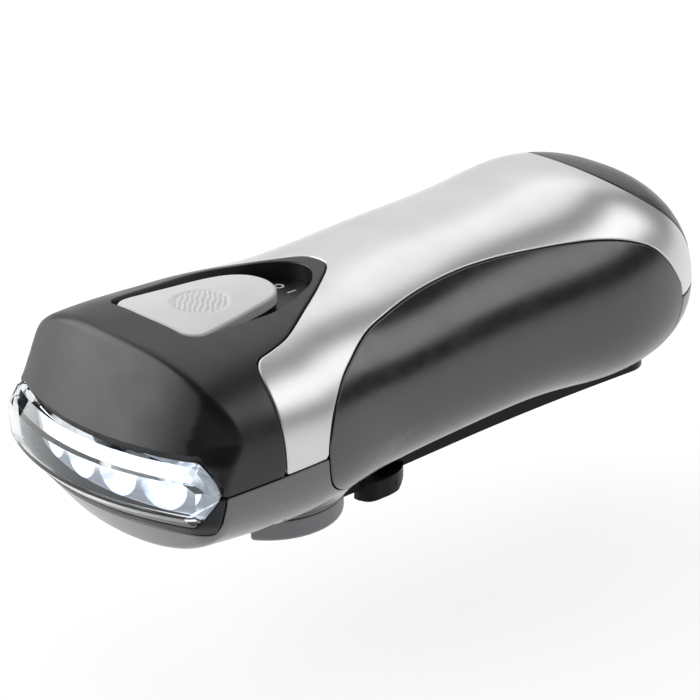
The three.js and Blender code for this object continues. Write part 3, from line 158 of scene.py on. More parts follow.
def crown_height(x, s):
    g = fullness(s)
    across = np.clip(np.abs(x) / (half_width(s) * g ** (1 / SIDE_POWER)), 0, 1)
    return (PARTING + rise_at(s, True) * g ** (1 / ROUND_POWER)
            * (1 - across ** SIDE_POWER) ** (1 / power_at(s, True)))


def soft_ramp(u, w):
    return np.where(u < -w, 0, np.where(u > w, u, (u + w) ** 2 / (4 * w)))


def lens_arc(x):
    return LENS_ARC_R - np.sqrt(LENS_ARC_R ** 2 - np.minimum(np.abs(x), 40) ** 2)


def nose(x, h):
    """The setback of the nose's face: the lens's arc, raked above and below, swept back at the corners."""
    ramp = np.sqrt(np.minimum(np.abs(h - 23.2) / 8, 1) ** 2 + 0.0004)
    start = 0.78 * HALF
    past = np.maximum(np.abs(x) - start, 0) / (HALF - start)
    return (lens_arc(x) + 0.465 * soft_ramp(h - LENS_HIGH, 0.7) + 0.8 * soft_ramp(LENS_LOW - h, 0.7)
            + 4.2 * np.minimum(ramp, 1) * past ** 1.5)


# the crease between the nose and the body, and the radius that rounds it
TH = np.linspace(-math.pi / 2, 1.5 * math.pi, 2881)
CREASE = np.full_like(TH, 8.0)
for _ in range(60):
    CREASE = 0.5 * CREASE + 0.5 * nose(*body(TH, CREASE))
RIM = 1.3


def outer(p):
    """The outer surface at (angle, row): rows 0-1 face, 1-2 rounded rim, 2-3 body, 3-4 tail."""
    th, v = p.T
    s0 = np.interp(th, TH, CREASE)
    xc, hc = body(th, s0)
    drho = RIM / np.hypot(xc, hc - PARTING)

    def face(rho):
        x = rho * xc
        h = PARTING + rho * (hc - PARTING)
        return columns(x, nose(x, h), h)
    flat = face(np.clip(v, 0, 1) * (1 - drho))
    t = np.clip(v - 1, 0, 1)[:, None]
    xb, hb = body(th, s0 + RIM)
    rim = ((1 - t) ** 2 * face(1 - drho) + 2 * t * (1 - t) * columns(xc, s0, hc)
           + t ** 2 * columns(xb, s0 + RIM, hb))
    s = s0 + RIM + (HULL_END - s0 - RIM) * np.clip(v - 2, 0, 1)
    s = np.where(v > 3, HULL_END + (LENGTH - HULL_END) * (1 - np.clip(4 - v, 0, 1) ** 2.3), s)
    xs, hs = body(th, s)
    hull = columns(xs, s, boss(xs, s, hs))
    v = v[:, None]
    return np.where(v < 1, flat, np.where(v < 2, rim, hull))


def boss(x, s, h):
    """Pulls the belly down to the boss's flared skirt with a rounded inner corner."""
    r = np.hypot(x, s - HUB_S)
    k = 2.2
    skirt = BOSS_H + 1.2 * np.maximum(r - BOSS_R, 0)
    blend = np.clip(0.5 + 0.5 * (h - skirt) / k, 0, 1)
    low = h * (1 - blend) + skirt * blend - k * blend * (1 - blend) * (r > 13.6)
    return np.where(h < PARTING - 2, np.minimum(low, h), h)


def outer_normal(p):
    e = 2e-4
    v0 = np.clip(p[:, 1] - 2 * e, 0.004, 3.9965)
    q0 = columns(p[:, 0], v0)
    q1 = columns(p[:, 0], v0 + 4 * e)
    around = outer(q0 + [e, 0]) - outer(q0 - [e, 0])
    return unit(np.cross(outer(q1) - outer(q0), around))


# ---- outlines and their distances

def blend(p, q, t0, t1, t):
    return (t1 - t) / (t1 - t0) * p + (t - t0) / (t1 - t0) * q


def spline(points, closed=False, step=0.35):
    """A centripetal Catmull-Rom curve through the points, sampled evenly."""
    pts = [np.array(p, float) for p in points]
    n = len(pts)
    out = []
    for i in range(n if closed else n - 1):
        p1, p2 = pts[i], pts[(i + 1) % n]
        p0 = pts[i - 1] if closed or i > 0 else 2 * p1 - p2
        p3 = pts[(i + 2) % n] if closed or i + 2 < n else 2 * p2 - p1
        q = np.array([p0, p1, p2, p3])
        reach = np.linalg.norm(np.diff(q, axis=0), axis=1)
        knots = np.append(0, np.cumsum(np.maximum(reach, 1e-6) ** 0.5))
        k = max(int(reach[1] / step), 1)
        for t in knots[1] + (knots[2] - knots[1]) * np.arange(k) / k:
            a = [blend(q[m], q[m + 1], knots[m], knots[m + 1], t) for m in range(3)]
            b = [blend(a[m], a[m + 1], knots[m], knots[m + 2], t) for m in range(2)]
            out.append(blend(*b, knots[1], knots[2], t))
    if not closed:
        out.append(pts[-1])
    return np.array(out)


def signed_distance(poly, x, y):
    """Distance to a closed outline, positive inside it."""
    a = poly
    b = np.roll(poly, -1, axis=0)
    ab = b - a
    q = columns(x, y)
    out = np.empty(len(q))
    chunk = 4000
    for i in range(0, len(q), chunk):
        c = q[i:i + chunk, None, :]
        t = np.clip(((c - a) * ab).sum(-1) / (ab ** 2).sum(-1), 0, 1)
        d = np.linalg.norm(a + t[..., None] * ab - c, axis=-1).min(axis=1)
        up = (a[:, 1] > c[..., 1]) != (b[:, 1] > c[..., 1])
        with np.errstate(divide="ignore", invalid="ignore"):
            cross = a[:, 0] + (c[..., 1] - a[:, 1]) * ab[:, 0] / ab[:, 1]
        odd = (up & (c[..., 0] < cross)).sum(axis=1) % 2 == 1
        out[i:i + chunk] = np.where(odd, d, -d)
    return out


class Outline:
    """A closed outline whose signed distance is read from a fine grid."""

    def __init__(self, poly, low, high, step=0.25):
        self.poly = poly
        self.low = np.array(low, float)
        self.step = step
        self.n = [int(math.ceil((high[k] - low[k]) / step)) + 1 for k in (0, 1)]
        x, y = np.meshgrid(*[self.low[k] + step * np.arange(self.n[k]) for k in (0, 1)], indexing="ij")
        self.grid = signed_distance(poly, x.ravel(), y.ravel()).reshape(x.shape)

    def __call__(self, x, y):
        u = np.clip((x - self.low[0]) / self.step, 0, self.n[0] - 1.001)
        v = np.clip((y - self.low[1]) / self.step, 0, self.n[1] - 1.001)
        i = u.astype(int)
        j = v.astype(int)
        u = u - i
        v = v - j
        g = self.grid
        return ((1 - u) * (1 - v) * g[i, j] + u * (1 - v) * g[i + 1, j] + (1 - u) * v * g[i, j + 1]
                + u * v * g[i + 1, j + 1])


def mirrored(half):
    """A whole outline from its right half."""
    half = np.array(half, float)
    other = half[::-1] * [-1, 1]
    return np.concatenate([half, other[np.abs(other[:, 0]) > 1e-6]])


def round_corners(poly, radius, steps=6):
    """Rounds each corner of a closed outline with an arc-like curve."""
    poly = np.array(poly, float)
    out = []
    for i, p in enumerate(poly):
        a, b = poly[i - 1], poly[(i + 1) % len(poly)]
        to_a, to_b = np.linalg.norm(a - p), np.linalg.norm(b - p)
        reach = min(radius, 0.48 * to_a, 0.48 * to_b)
        start = p + (a - p) / to_a * reach
        end = p + (b - p) / to_b * reach
        out += [(1 - t) ** 2 * start + 2 * t * (1 - t) * p + t ** 2 * end for t in np.linspace(0, 1, steps)]
    return np.array(out)


# The cover's rear edge, as shares of (half width, length).
COVER_EDGE = [[0, 0.3905], [0.093, 0.386], [0.253, 0.3475], [0.448, 0.288], [0.616, 0.229], [0.665, 0.197],
              [0.701, 0.17], [0.744, 0.161], [0.82, 0.1565], [0.92, 0.156], [1.1, 0.159]]
edge = np.array(COVER_EDGE) * [HALF, LENGTH]
edge = np.concatenate([(edge[::-1] * [-1, 1])[:-1], edge])
COVER = Outline(np.concatenate([spline(edge), [[HALF * 1.1, -30], [-HALF * 1.1, -30]]]), (-29, -4), (29, 60))

# The grip seen from the side, as shares of (length, crown's rise).
GRIP_EDGE = [[0.226, 0.02], [0.231, 0.17], [0.243, 0.3], [0.27, 0.44], [0.302, 0.525], [0.342, 0.6],
             [0.385, 0.643], [0.435, 0.686], [0.48, 0.714], [0.53, 0.73], [0.588, 0.726], [0.646, 0.706],
             [0.702, 0.682], [0.74, 0.659], [0.776, 0.62], [0.81, 0.56], [0.842, 0.474], [0.866, 0.353],
             [0.885, 0.212], [0.9, 0.067], [0.9, -0.1], [0.888, -0.26], [0.86, -0.39], [0.8, -0.45],
             [0.7, -0.46], [0.6, -0.46], [0.5, -0.46], [0.4, -0.455], [0.31, -0.43], [0.262, -0.34],
             [0.235, -0.2]]
GRIP = Outline(spline(np.array(GRIP_EDGE) * [LENGTH, CROWN] + [0, PARTING], closed=True), (24, 5), (132, 47))

# The tail inlay's tongue, with its round front end.
INLAY_HALF = 0.57 * HALF
INLAY_START, INLAY_FULL = 0.809, 0.926
turn = quarter(30)
tongue = columns(INLAY_HALF * np.sin(turn) ** (2 / 2.3),
                 (INLAY_FULL - (INLAY_FULL - INLAY_START) * np.cos(turn) ** (2 / 2.3)) * LENGTH)
tongue = np.concatenate([tongue, [[INLAY_HALF, LENGTH + 20]]])
INLAY = Outline(mirrored(tongue[::-1]), (-22, 106), (22, 142))

# The switch's pocket and cap: right halves, as shares of (half width, length) of each.
POCKET_EDGE = [[0, -0.017], [0.86, 0], [1, 0.04], [1, 0.5], [0.93, 0.62], [0.56, 0.88], [0.27, 0.97], [0, 1]]
CAP_EDGE = [[0, -0.015], [0.85, 0], [1, 0.08], [1, 0.15], [0.87, 0.44], [0.71, 0.74], [0.6, 0.87],
            [0.35, 0.965], [0, 1]]
CAP_HALF = 0.381 * HALF
POCKET_HALF = CAP_HALF + 0.7
POCKET_S = 0.1163 * LENGTH
pocket_edge = np.array(POCKET_EDGE) * [POCKET_HALF, 0.2513 * LENGTH] + [0, POCKET_S]
POCKET = Outline(round_corners(mirrored(pocket_edge), 3), (-15, 10), (15, 56))
cap_edge = np.array(CAP_EDGE) * [CAP_HALF, 0.1866 * LENGTH] + [0, POCKET_S + 0.3]
CAP = round_corners(mirrored(cap_edge), 2.6)
CAP_FIELD = Outline(CAP, (-13, 13), (13, 46), 0.12)

WINDOW = Outline(np.array([[-27.2, 22.75], [-23.5, 17.2], [23.5, 17.2], [27.2, 22.75],
                           [27.2, 23.65], [23.5, 28.6], [-23.5, 28.6], [-27.2, 23.65]]), (-30, 12), (30, 34))
SCREWS = [(side * x * HALF, s * LENGTH) for x, s in ((0.73, 0.176), (0.516, 0.8205)) for side in (1, -1)]

# The channel that the knob turns in: its section seen along the path, as (distance from path, height)
CHANNEL_HALF = 6.5
CHANNEL_TOP = [[CHANNEL_HALF, 9.9], [5.9, 10.86], [4.82, 11.88], [3.5, 12.9]]
CHANNEL_R = KNOB_S - HUB_S
CHANNEL = Outline(np.array([[-CHANNEL_HALF, -30], [CHANNEL_HALF, -30], *CHANNEL_TOP, [0, 12.9],
                            *[[-x, z] for x, z in CHANNEL_TOP[::-1]]]), (-12, 3), (12, 19))


# ---- rules: each is positive on one side of an edge

FAR = 9  # a rule's value where its edge doesn't reach
HEAD_END = 20  # the window's rules hold in front of this setback
REAR_START = 90  # the knob channel's rule holds behind this one
CROWN_LOW = 35  # the pocket's rule holds above this height
UNDERSIDE = PARTING - 4  # the screw holes' rule holds below this one
# the sill is a 2.1 mm strip of the bottom shell round the window's lower half, coloured near black as painted shade
# along the lens's lower edge
WINDOW_BACK, LIP_BACK, SILL_BACK = 9.6, 7.9, 9.2  # how far back the opening, its lip and its sill go
SILL_WIDE = 2.1


def f_up(x, s, h):
    return h - PARTING


def f_cover(x, s, h):
    return COVER(x, s)


def f_grip(x, s, h):
    return GRIP(s, h)


def f_inlay(x, s, h):
    return INLAY(x, s)


def f_inlay_low(x, s, h):
    return h - (PARTING + 0.24 * CROWN)


def f_window(x, s, h):
    return np.where(s < HEAD_END, np.maximum(-WINDOW(x, h), s - WINDOW_BACK), FAR)


def f_lip(x, s, h):
    return np.maximum(f_window(x, s, h), s - LIP_BACK)


# the edge of the near-black sill strip, whose colour is painted shade
def f_sill(x, s, h):
    return np.maximum(f_window(x, s, h) - SILL_WIDE, s - SILL_BACK)


def f_pocket(x, s, h):
    return np.where(h > CROWN_LOW, -POCKET(x, s), FAR)


def f_channel(x, s, h):
    r = np.hypot(x, s - HUB_S) - CHANNEL_R
    return np.where((s > REAR_START) & (h < PARTING), -CHANNEL(r, h), FAR)


def f_boss(x, s, h):
    return np.where(h < PARTING, np.hypot(x, s - HUB_S) - BOSS_R, FAR)


def f_screws(x, s, h):
    d = np.min([np.hypot(x - x0, s - s0) for x0, s0 in SCREWS], axis=0) - SCREW_HOLE_R
    return np.where(h < UNDERSIDE, d, FAR)


def beyond(rule):
    """The same edge with its sides swapped."""
    return lambda x, s, h: -rule(x, s, h)


REACH = 2.5  # how far from an edge its distance is measured along the surface


def gradient(rule, p):
    e = 0.04
    return columns(*[(rule(*(p + d).T) - rule(*(p - d).T)) / (2 * e) for d in e * np.eye(3)])


def across(v, n):
    """The part of each vector that lies across the normal."""
    return v - (v * n).sum(1)[:, None] * n


def along_surface(rule):
    """A plane distance turned into a distance along the surface."""
    def value(p, n):
        f = rule(*p.T)
        near = np.abs(f) < REACH
        if near.any():
            slope = np.linalg.norm(across(gradient(rule, p[near]), n[near]), axis=1)
            f[near] = f[near] / np.clip(slope, 0.35, 1)
        return f
    return value


# ---- meshes cut along the edges

def grid_tris(rows, count):
    """Two triangles for each cell of a grid of points, count to a row."""
    i, j = np.meshgrid(np.arange(rows - 1), np.arange(count - 1), indexing="ij")
    a = (i * count + j).ravel()
    b = a + count
    return np.concatenate([columns(a, b, b + 1), columns(a, b + 1, a + 1)])


def base_grid(turns=288, face=26, rim=6, hull=170, tail=54):
    """The surface's (angle, row) places and the triangles between them."""
    ths = np.linspace(-math.pi / 2, 1.5 * math.pi, turns + 1)
    rows = np.concatenate([np.linspace(0.02, 1, face)[:-1], np.linspace(1, 2, rim + 1)[:-1],
                           np.linspace(2, 3, hull + 1)[:-1], np.linspace(3, 4, tail + 1)[:-1], [3.998]])
    th, v = np.meshgrid(ths, rows, indexing="ij")
    return columns(th.ravel(), v.ravel()), grid_tris(turns + 1, len(rows))


def cut(p, tris, f, level, value):
    """Splits the triangles that cross a level of the value, with the new points on that level."""
    d = f - level
    side = d >= 0
    ts = side[tris]
    mixed = ts.any(1) & ~ts.all(1)
    if not mixed.any():
        return p, tris, f
    t = tris[mixed]
    s = side[t]
    odd = np.where(s.sum(1) == 1, s.argmax(1), (~s).argmax(1))
    rows = np.arange(len(t))
    a, b, c = [t[rows, (odd + k) % 3] for k in range(3)]
    pairs = np.sort(np.concatenate([columns(a, b), columns(a, c)]), axis=1)
    edges, where = np.unique(pairs, axis=0, return_inverse=True)
    where = where.ravel()
    lo, hi = edges.T
    t0 = np.zeros(len(edges))
    t1 = np.ones(len(edges))
    d0 = d[lo]
    d1 = d[hi]
    k = d0 / (d0 - d1)
    for _ in range(4):
        dk = value(p[lo] + (p[hi] - p[lo]) * k[:, None]) - level
        same = np.sign(dk) == np.sign(d0)
        t0 = np.where(same, k, t0)
        d0 = np.where(same, dk, d0)
        t1 = np.where(same, t1, k)
        d1 = np.where(same, d1, dk)
        k = np.clip(t0 + (t1 - t0) * d0 / (d0 - d1 + 1e-15), 0, 1)
    q = p[lo] + (p[hi] - p[lo]) * k[:, None]
    ab, ac = len(p) + where.reshape(2, -1)
    new = np.concatenate([columns(a, ab, ac), columns(ab, b, c), columns(ab, c, ac)])
    return np.concatenate([p, q]), np.concatenate([tris[~mixed], new]), np.concatenate([f, np.full(len(q), level)])


def drop_unused(tris, *rows):
    """Leaves out the points that no triangle uses."""
    used = np.unique(tris)
    number = np.full(len(rows[0]), -1)
    number[used] = np.arange(len(used))
    return (number[tris], *[r[used] for r in rows])


def open_edges(tris):
    """The edges that belong to one triangle only."""
    pairs = np.concatenate([tris[:, [0, 1]], tris[:, [1, 2]], tris[:, [2, 0]]])
    _, inverse, count = np.unique(np.sort(pairs, axis=1), axis=0, return_inverse=True, return_counts=True)
    return pairs[count[inverse.ravel()] == 1]


def edge_wall(count, lone):
    """The points of the open edges, the numbers of their copies after count points, and the faces between."""
    rim = np.unique(lone)
    number = np.full(count, -1)
    number[rim] = count + np.arange(len(rim))
    a, b = lone.T
    low_a, low_b = number[lone].T
    return rim, number[lone], np.concatenate([columns(b, a, low_a), columns(b, low_a, low_b)])


def turn_to(verts, faces, normals):
    """Makes each face agree with its vertices' normals."""
    a = verts[faces[:, 0]]
    n = np.cross(verts[faces[:, 1]] - a, verts[faces[:, 2]] - a)
    wrong = (n * normals[faces].sum(1)).sum(1) < 0
    return verts, np.where(wrong[:, None], faces[:, ::-1], faces), normals


def joined(patches):
    """Several (places, faces, normals) as one."""
    start = 0
    parts = []
    for patch in patches:
        verts, faces, normals = turn_to(*patch)
        parts.append((verts, faces + start, normals))
        start += len(verts)
    return [np.concatenate(column) for column in zip(*parts)]


BASE = base_grid()
BASE_AT = outer(BASE[0])
BASE_NORMAL = outer_normal(BASE[0])


def panel(rules, gap=0.12, radius=0.3, wall=1.5, drop=None, lip=None):
    """One moulded panel: the part of the casing's surface where every rule is positive, with a rounded edge.

    lip is (rule, width, depth): within that width of the rule's edge, the surface leans in by that depth.
    """
    lifted = [along_surface(rule) for rule in rules]

    def measure(p):
        at, n = outer(p), outer_normal(p)
        return np.min([rule(at, n) for rule in lifted], axis=0)
    p, tris = BASE
    f = np.min([rule(BASE_AT, BASE_NORMAL) for rule in lifted], axis=0)
    tris, p, f = drop_unused(tris[(f[tris] > gap - REACH).any(1)], p, f)
    p, tris, f = cut(p, tris, f, gap, measure)
    tris = tris[f[tris].max(1) > gap + 1e-9]
    for share in (0.03, 0.12, 0.3, 0.6, 1.0):
        p, tris, f = cut(p, tris, f, gap + share * radius, measure)
    if lip:
        lip_rule, lip_width, lip_depth = lip
        lifted_lip = along_surface(lip_rule)

        def lip_measure(q):
            return lifted_lip(outer(q), outer_normal(q))
        for level in (lip_width, lip_width - 0.12):
            longer, tris, _ = cut(p, tris, lip_measure(p), level, lip_measure)
            f = np.concatenate([f, measure(longer[len(p):])])
            p = longer
    tris, p, f = drop_unused(tris, p, f)
    at = outer(p)
    n = outer_normal(p)
    # the rounded edge: points near it sink, and their normals lean out over it
    near = f < gap + radius * 1.001
    lean = np.clip((radius - (f - gap)) / radius, 0, 1)
    nearest = np.stack([rule(at[near], n[near]) for rule in lifted]).argmin(axis=0)
    away = np.zeros_like(at)
    for k, rule in enumerate(rules):
        rows = np.flatnonzero(near)[nearest == k]
        if len(rows):
            away[rows] = -gradient(rule, at[rows])
    away = unit(across(away, n))
    rise = np.sqrt(np.clip(1 - lean ** 2, 0, 1))
    at = at - n * (radius * (1 - rise))[:, None]
    shade = n * rise[:, None] + away * lean[:, None]
    if lip:
        g = lifted_lip(at, n)
        low = g < lip_width + 1e-6
        pull = np.clip((lip_width - g) / lip_width, 0, 1) * lip_depth
        at = at - n * (pull * low)[:, None]
        side = unit(across(-gradient(lip_rule, at), n))
        tilt = math.atan2(lip_depth, lip_width)
        leaning = (g < lip_width - 0.11) & ~(near & (lean > 0.05))
        shade[leaning] = n[leaning] * math.cos(tilt) + side[leaning] * math.sin(tilt)
    # the wall that runs in from the edge
    lone = open_edges(tris)
    rim, _, walls = edge_wall(len(at), lone[(f[lone] < gap + 1e-6).all(1)])
    inner = at[rim] - n[rim] * wall
    if drop:
        inner = drop(at[rim], inner)
    return np.concatenate([at, inner]), np.concatenate([tris, walls]), np.concatenate([shade, shade[rim]])


# ---- camera

def add_object(name, data):
    obj = bpy.data.objects.new(name, data)
    bpy.context.scene.collection.objects.link(obj)
    return obj


def place_camera():
    """The camera at the photograph's viewing angle."""
    az, el, roll = math.radians(48.24), math.radians(23.42), math.radians(1.0)
    target = Vector((0, -0.00725, 0.025))
    distance = 0.579
    back = Vector((math.sin(az) * math.cos(el), -math.cos(az) * math.cos(el), math.sin(el)))
    right = Vector((math.cos(az), math.sin(az), 0))
    up = back.cross(right)
    right, up = math.cos(roll) * right - math.sin(roll) * up, math.sin(roll) * right + math.cos(roll) * up
    data = bpy.data.cameras.new("photo_camera")
    data.lens = 167.18
    data.sensor_width = 36
    data.clip_start = 0.01
    camera = add_object("photo_camera", data)
    camera.matrix_world = (Matrix.Translation(target + back * distance)
                           @ Matrix((right, up, back)).transposed().to_4x4())
    bpy.context.scene.camera = camera


place_camera()


# ---- materials

class Nodes:
    """A small helper for building one material's nodes."""

    def __init__(self, name, color, roughness, **inputs):
        self.mat = bpy.data.materials.new(name)
        self.mat.use_nodes = True
        self.tree = self.mat.node_tree
        self.bsdf = self.tree.nodes["Principled BSDF"]
        self.bsdf.inputs["Base Color"].default_value = (*color, 1)
        self.bsdf.inputs["Roughness"].default_value = roughness
        for key, value in inputs.items():
            self.bsdf.inputs[key.replace("_", " ")].default_value = value
        self.color = color
        self.place = self.node("ShaderNodeTexCoord").outputs["Object"]

    def node(self, kind, **values):
        n = self.tree.nodes.new(kind)
        for key, value in values.items():
            if key in n.inputs:
                n.inputs[key].default_value = value
            else:
                setattr(n, key, value)
        return n

    def link(self, a, b):
        self.tree.links.new(a, b)

    def noise(self, scale, detail=2.0, rough=0.5, stretch=None):
        n = self.node("ShaderNodeTexNoise", Scale=scale, Detail=detail, Roughness=rough)
        place = self.place
        if stretch:
            m = self.node("ShaderNodeMapping", Scale=stretch)
            self.link(place, m.inputs["Vector"])
            place = m.outputs["Vector"]
        self.link(place, n.inputs["Vector"])
        return n.outputs["Fac"]

    def tint(self, source, low, high):
        """Varies the base colour between two shares of it."""
        n = self.node("ShaderNodeValToRGB")
        for element, position, share in zip(n.color_ramp.elements, (0.3, 0.7), (low, high)):
            element.position = position
            element.color = (*[min(c * share, 1) for c in self.color], 1)
        self.link(source, n.inputs["Fac"])
        self.link(n.outputs["Color"], self.bsdf.inputs["Base Color"])

    def rough(self, source, low, high):
        n = self.node("ShaderNodeMapRange")
        for key, value in (("From Min", 0.3), ("From Max", 0.7), ("To Min", low), ("To Max", high)):
            n.inputs[key].default_value = value
        self.link(source, n.inputs["Value"])
        self.link(n.outputs["Result"], self.bsdf.inputs["Roughness"])

    def bump(self, source, micrometres, strength=1.0):
        n = self.node("ShaderNodeBump", Distance=micrometres * 1e-6, Strength=strength)
        self.link(source, n.inputs["Height"])
        self.link(n.outputs["Normal"], self.bsdf.inputs["Normal"])


finishes = {}


def plastic(name, color, roughness, grain=None, spread=0.04, **inputs):
    """A moulded plastic; grain is the bump's (scale, depth in micrometres)."""
    m = Nodes(name, color, roughness, **inputs)
    m.tint(m.noise(90, 3), 0.96, 1.04)
    m.rough(m.noise(260, 4), roughness - spread, roughness + spread)
    if grain:
        m.bump(m.noise(grain[0], 2, 0.6), grain[1])
    finishes[name] = m.mat


def metal(name, color, roughness, stretch=None, depth=2, **inputs):
    m = Nodes(name, color, roughness, Metallic=1.0, **inputs)
    m.tint(m.noise(300, 3), 0.94, 1.05)
    m.rough(m.noise(700, 3, stretch=stretch), roughness - 0.06, roughness + 0.08)
    m.bump(m.noise(2600, 3, stretch=stretch), depth)
    finishes[name] = m.mat


def clear(name, color, roughness, **inputs):
    m = Nodes(name, color, roughness, **inputs)
    m.bump(m.noise(140, 2), 10, 0.4)
    finishes[name] = m.mat


def glowing(name, color, roughness, **inputs):
    m = Nodes(name, color, roughness, **inputs)
    m.tint(m.noise(2000, 2), 0.95, 1.05)
    finishes[name] = m.mat


plastic("cover_black", (0.004, 0.004, 0.0044), 0.35, (5200, 10), Specular_IOR_Level=0.6)
plastic("shell_silver", (0.78, 0.782, 0.79), 0.31, spread=0.012, Metallic=0.65)
plastic("shell_grey", (0.085, 0.086, 0.091), 0.22, spread=0.02, IOR=1.6, Specular_IOR_Level=1.0)
plastic("grip_black", (0.002, 0.002, 0.0022), 0.24, (2600, 2), spread=0.03, IOR=1.6, Specular_IOR_Level=0.85)
plastic("inlay_grey", (0.04, 0.04, 0.044), 0.32, (3000, 3), Specular_IOR_Level=0.6)
plastic("cap_grey", (0.72, 0.725, 0.725), 0.4, (6000, 4))
plastic("arm_black", (0.002, 0.002, 0.0022), 0.34, (4200, 4), Specular_IOR_Level=0.14)
plastic("hub_grey", (0.28, 0.28, 0.295), 0.4, (4200, 6))
plastic("inner_black", (0.004, 0.004, 0.004), 0.4, (4000, 6), Specular_IOR_Level=0.4)
# painted shade: the sill strip round the lens window is near black, darker than the grey shell it belongs to
plastic("window_sill_painted_shade", (0.012, 0.014, 0.018), 0.4, (4000, 4), Specular_IOR_Level=0.3)
plastic("gear_white", (0.62, 0.6, 0.55), 0.45, (3000, 4))
plastic("magnet_grey", (0.045, 0.043, 0.042), 0.45, (3000, 8), Metallic=0.4)
plastic("board_green", (0.015, 0.1, 0.035), 0.4, (2400, 6))
plastic("lead_red", (0.35, 0.02, 0.02), 0.42, (3000, 4))
plastic("lead_black", (0.012, 0.012, 0.012), 0.42, (3000, 4))
metal("steel", (0.56, 0.55, 0.54), 0.28, (1, 1, 8))
metal("brass", (0.62, 0.45, 0.2), 0.28, (1, 1, 6))
metal("copper", (0.72, 0.34, 0.2), 0.34, (1, 1, 14), 20)
# painted light: this chrome glows faintly, standing in for the light that reaches the mirror block and the lamps'
# die cups through the lens
metal("reflector_chrome", (0.9, 0.92, 0.96), 0.17, Emission_Color=(0.8, 0.87, 1.0, 1), Emission_Strength=0.34)
clear("lens_clear", (0.93, 0.965, 0.985), 0.015, IOR=1.47, Transmission_Weight=1.0)
clear("lamp_clear", (0.93, 0.96, 1.0), 0.08, IOR=1.5, Transmission_Weight=0.75,
      Emission_Color=(0.78, 0.86, 1.0, 1), Emission_Strength=0.35)
glowing("lamp_chip", (0.95, 0.93, 0.72), 0.6, Emission_Color=(0.9, 0.94, 1.0, 1), Emission_Strength=4.0)


# ---- pieces

def new_mesh(name, verts, faces):
    mesh = bpy.data.meshes.new(name)
    mesh.from_pydata([tuple(map(float, v)) for v in verts], [], [tuple(map(int, f)) for f in faces])
    mesh.validate()
    return add_object(name, mesh)


def smooth(mesh):
    mesh.polygons.foreach_set("use_smooth", [True] * len(mesh.polygons))


def place_piece(obj, body_name, nodes=()):
    """Puts a piece on its body and hides the CAD nodes that it stands for."""
    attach(obj, body_name)
    if nodes:
        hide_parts(*nodes)


def casing_skin(name, patches, look, slot, *nodes):
    """A smooth piece of the casing made of patches with their own normals."""
    verts, faces, normals = joined(patches)
    obj = new_mesh(name, frame_place(verts), faces)
    smooth(obj.data)
    obj.data.normals_split_custom_set_from_vertices([tuple(n) for n in normals])
    obj.data.materials.append(finishes[look])
    place_piece(obj, "casing", nodes)


def solid(verts, faces, name="blank"):
    """A solid in mm, with its faces turned outward."""
    obj = new_mesh(name, verts, faces)
    bm = bmesh.new()
    bm.from_mesh(obj.data)
    bmesh.ops.recalc_face_normals(bm, faces=bm.faces)
    bm.to_mesh(obj.data)
    bm.free()
    return obj


def between(first, second, turn=1):
    """The solid between two loops with as many points each; turn is the first loop's sense, 1 or -1."""
    n = len(first)
    faces = [tuple(range(n))[::-turn], tuple(range(n, 2 * n))[::turn]]
    faces += [(i, (i + 1) % n, n + (i + 1) % n, n + i) for i in range(n)]
    return solid([*first, *second], faces)


def prism(outline, z0, z1):
    """A plate from a closed (x, y) outline."""
    return between(*[[(x, y, z) for x, y in outline] for z in (z0, z1)])


def block(x0, x1, y0, y1, z0, z1):
    return prism([(x0, y0), (x1, y0), (x1, y1), (x0, y1)], z0, z1)


def bar_across(outline, x0, x1):
    """A bar from x0 to x1 with a closed (y, z) outline."""
    return between(*[[(x, y, z) for y, z in outline] for x in (x0, x1)], turn=-1)


def circle(x, y, r, steps=48):
    a = np.linspace(0, 2 * math.pi, steps, endpoint=False)
    return columns(x + r * np.cos(a), y + r * np.sin(a))


def turned(x, y, profile, steps=96, wave=None):
    """A closed turned form about an upright axis; the profile runs from axis to axis or closes on itself."""
    rings = []
    verts = []
    for r, z in profile:
        if r < 1e-6:
            rings.append([len(verts)])
            verts.append((x, y, z))
            continue
        rings.append(list(range(len(verts), len(verts) + steps)))
        for i in range(steps):
            a = 2 * math.pi * i / steps
            k = wave(r, z, a) if wave else r
            verts.append((x + k * math.cos(a), y + k * math.sin(a), z))
    faces = []
    closed = profile[0][0] > 1e-6
    for a, b in zip(rings, rings[1:] + (rings[:1] if closed else [])):
        if len(a) == 1 and len(b) == 1:
            continue
        for i in range(steps):
            j = (i + 1) % steps
            if len(a) == 1:
                faces.append((a[0], b[j], b[i]))
            elif len(b) == 1:
                faces.append((a[i], a[j], b[0]))
            else:
                faces.append((a[i], a[j], b[j], b[i]))
    return solid(verts, faces)


def cylinder(y, r, z0, z1, steps):
    """An upright cylinder on the part's middle plane."""
    return turned(0, y, [(0, z0), (r, z0), (r, z1), (0, z1)], steps)


def settle(obj):
    """Applies an object's modifiers."""
    deps = bpy.context.evaluated_depsgraph_get()
    mesh = bpy.data.meshes.new_from_object(obj.evaluated_get(deps))
    obj.modifiers.clear()
    old = obj.data
    obj.data = mesh
    bpy.data.meshes.remove(old)


def combine(obj, *others, operation="DIFFERENCE"):
    for other in others:
        m = obj.modifiers.new("cut", "BOOLEAN")
        m.operation = operation
        m.object = other
        m.solver = "EXACT"
        settle(obj)
        bpy.data.objects.remove(other)
    return obj


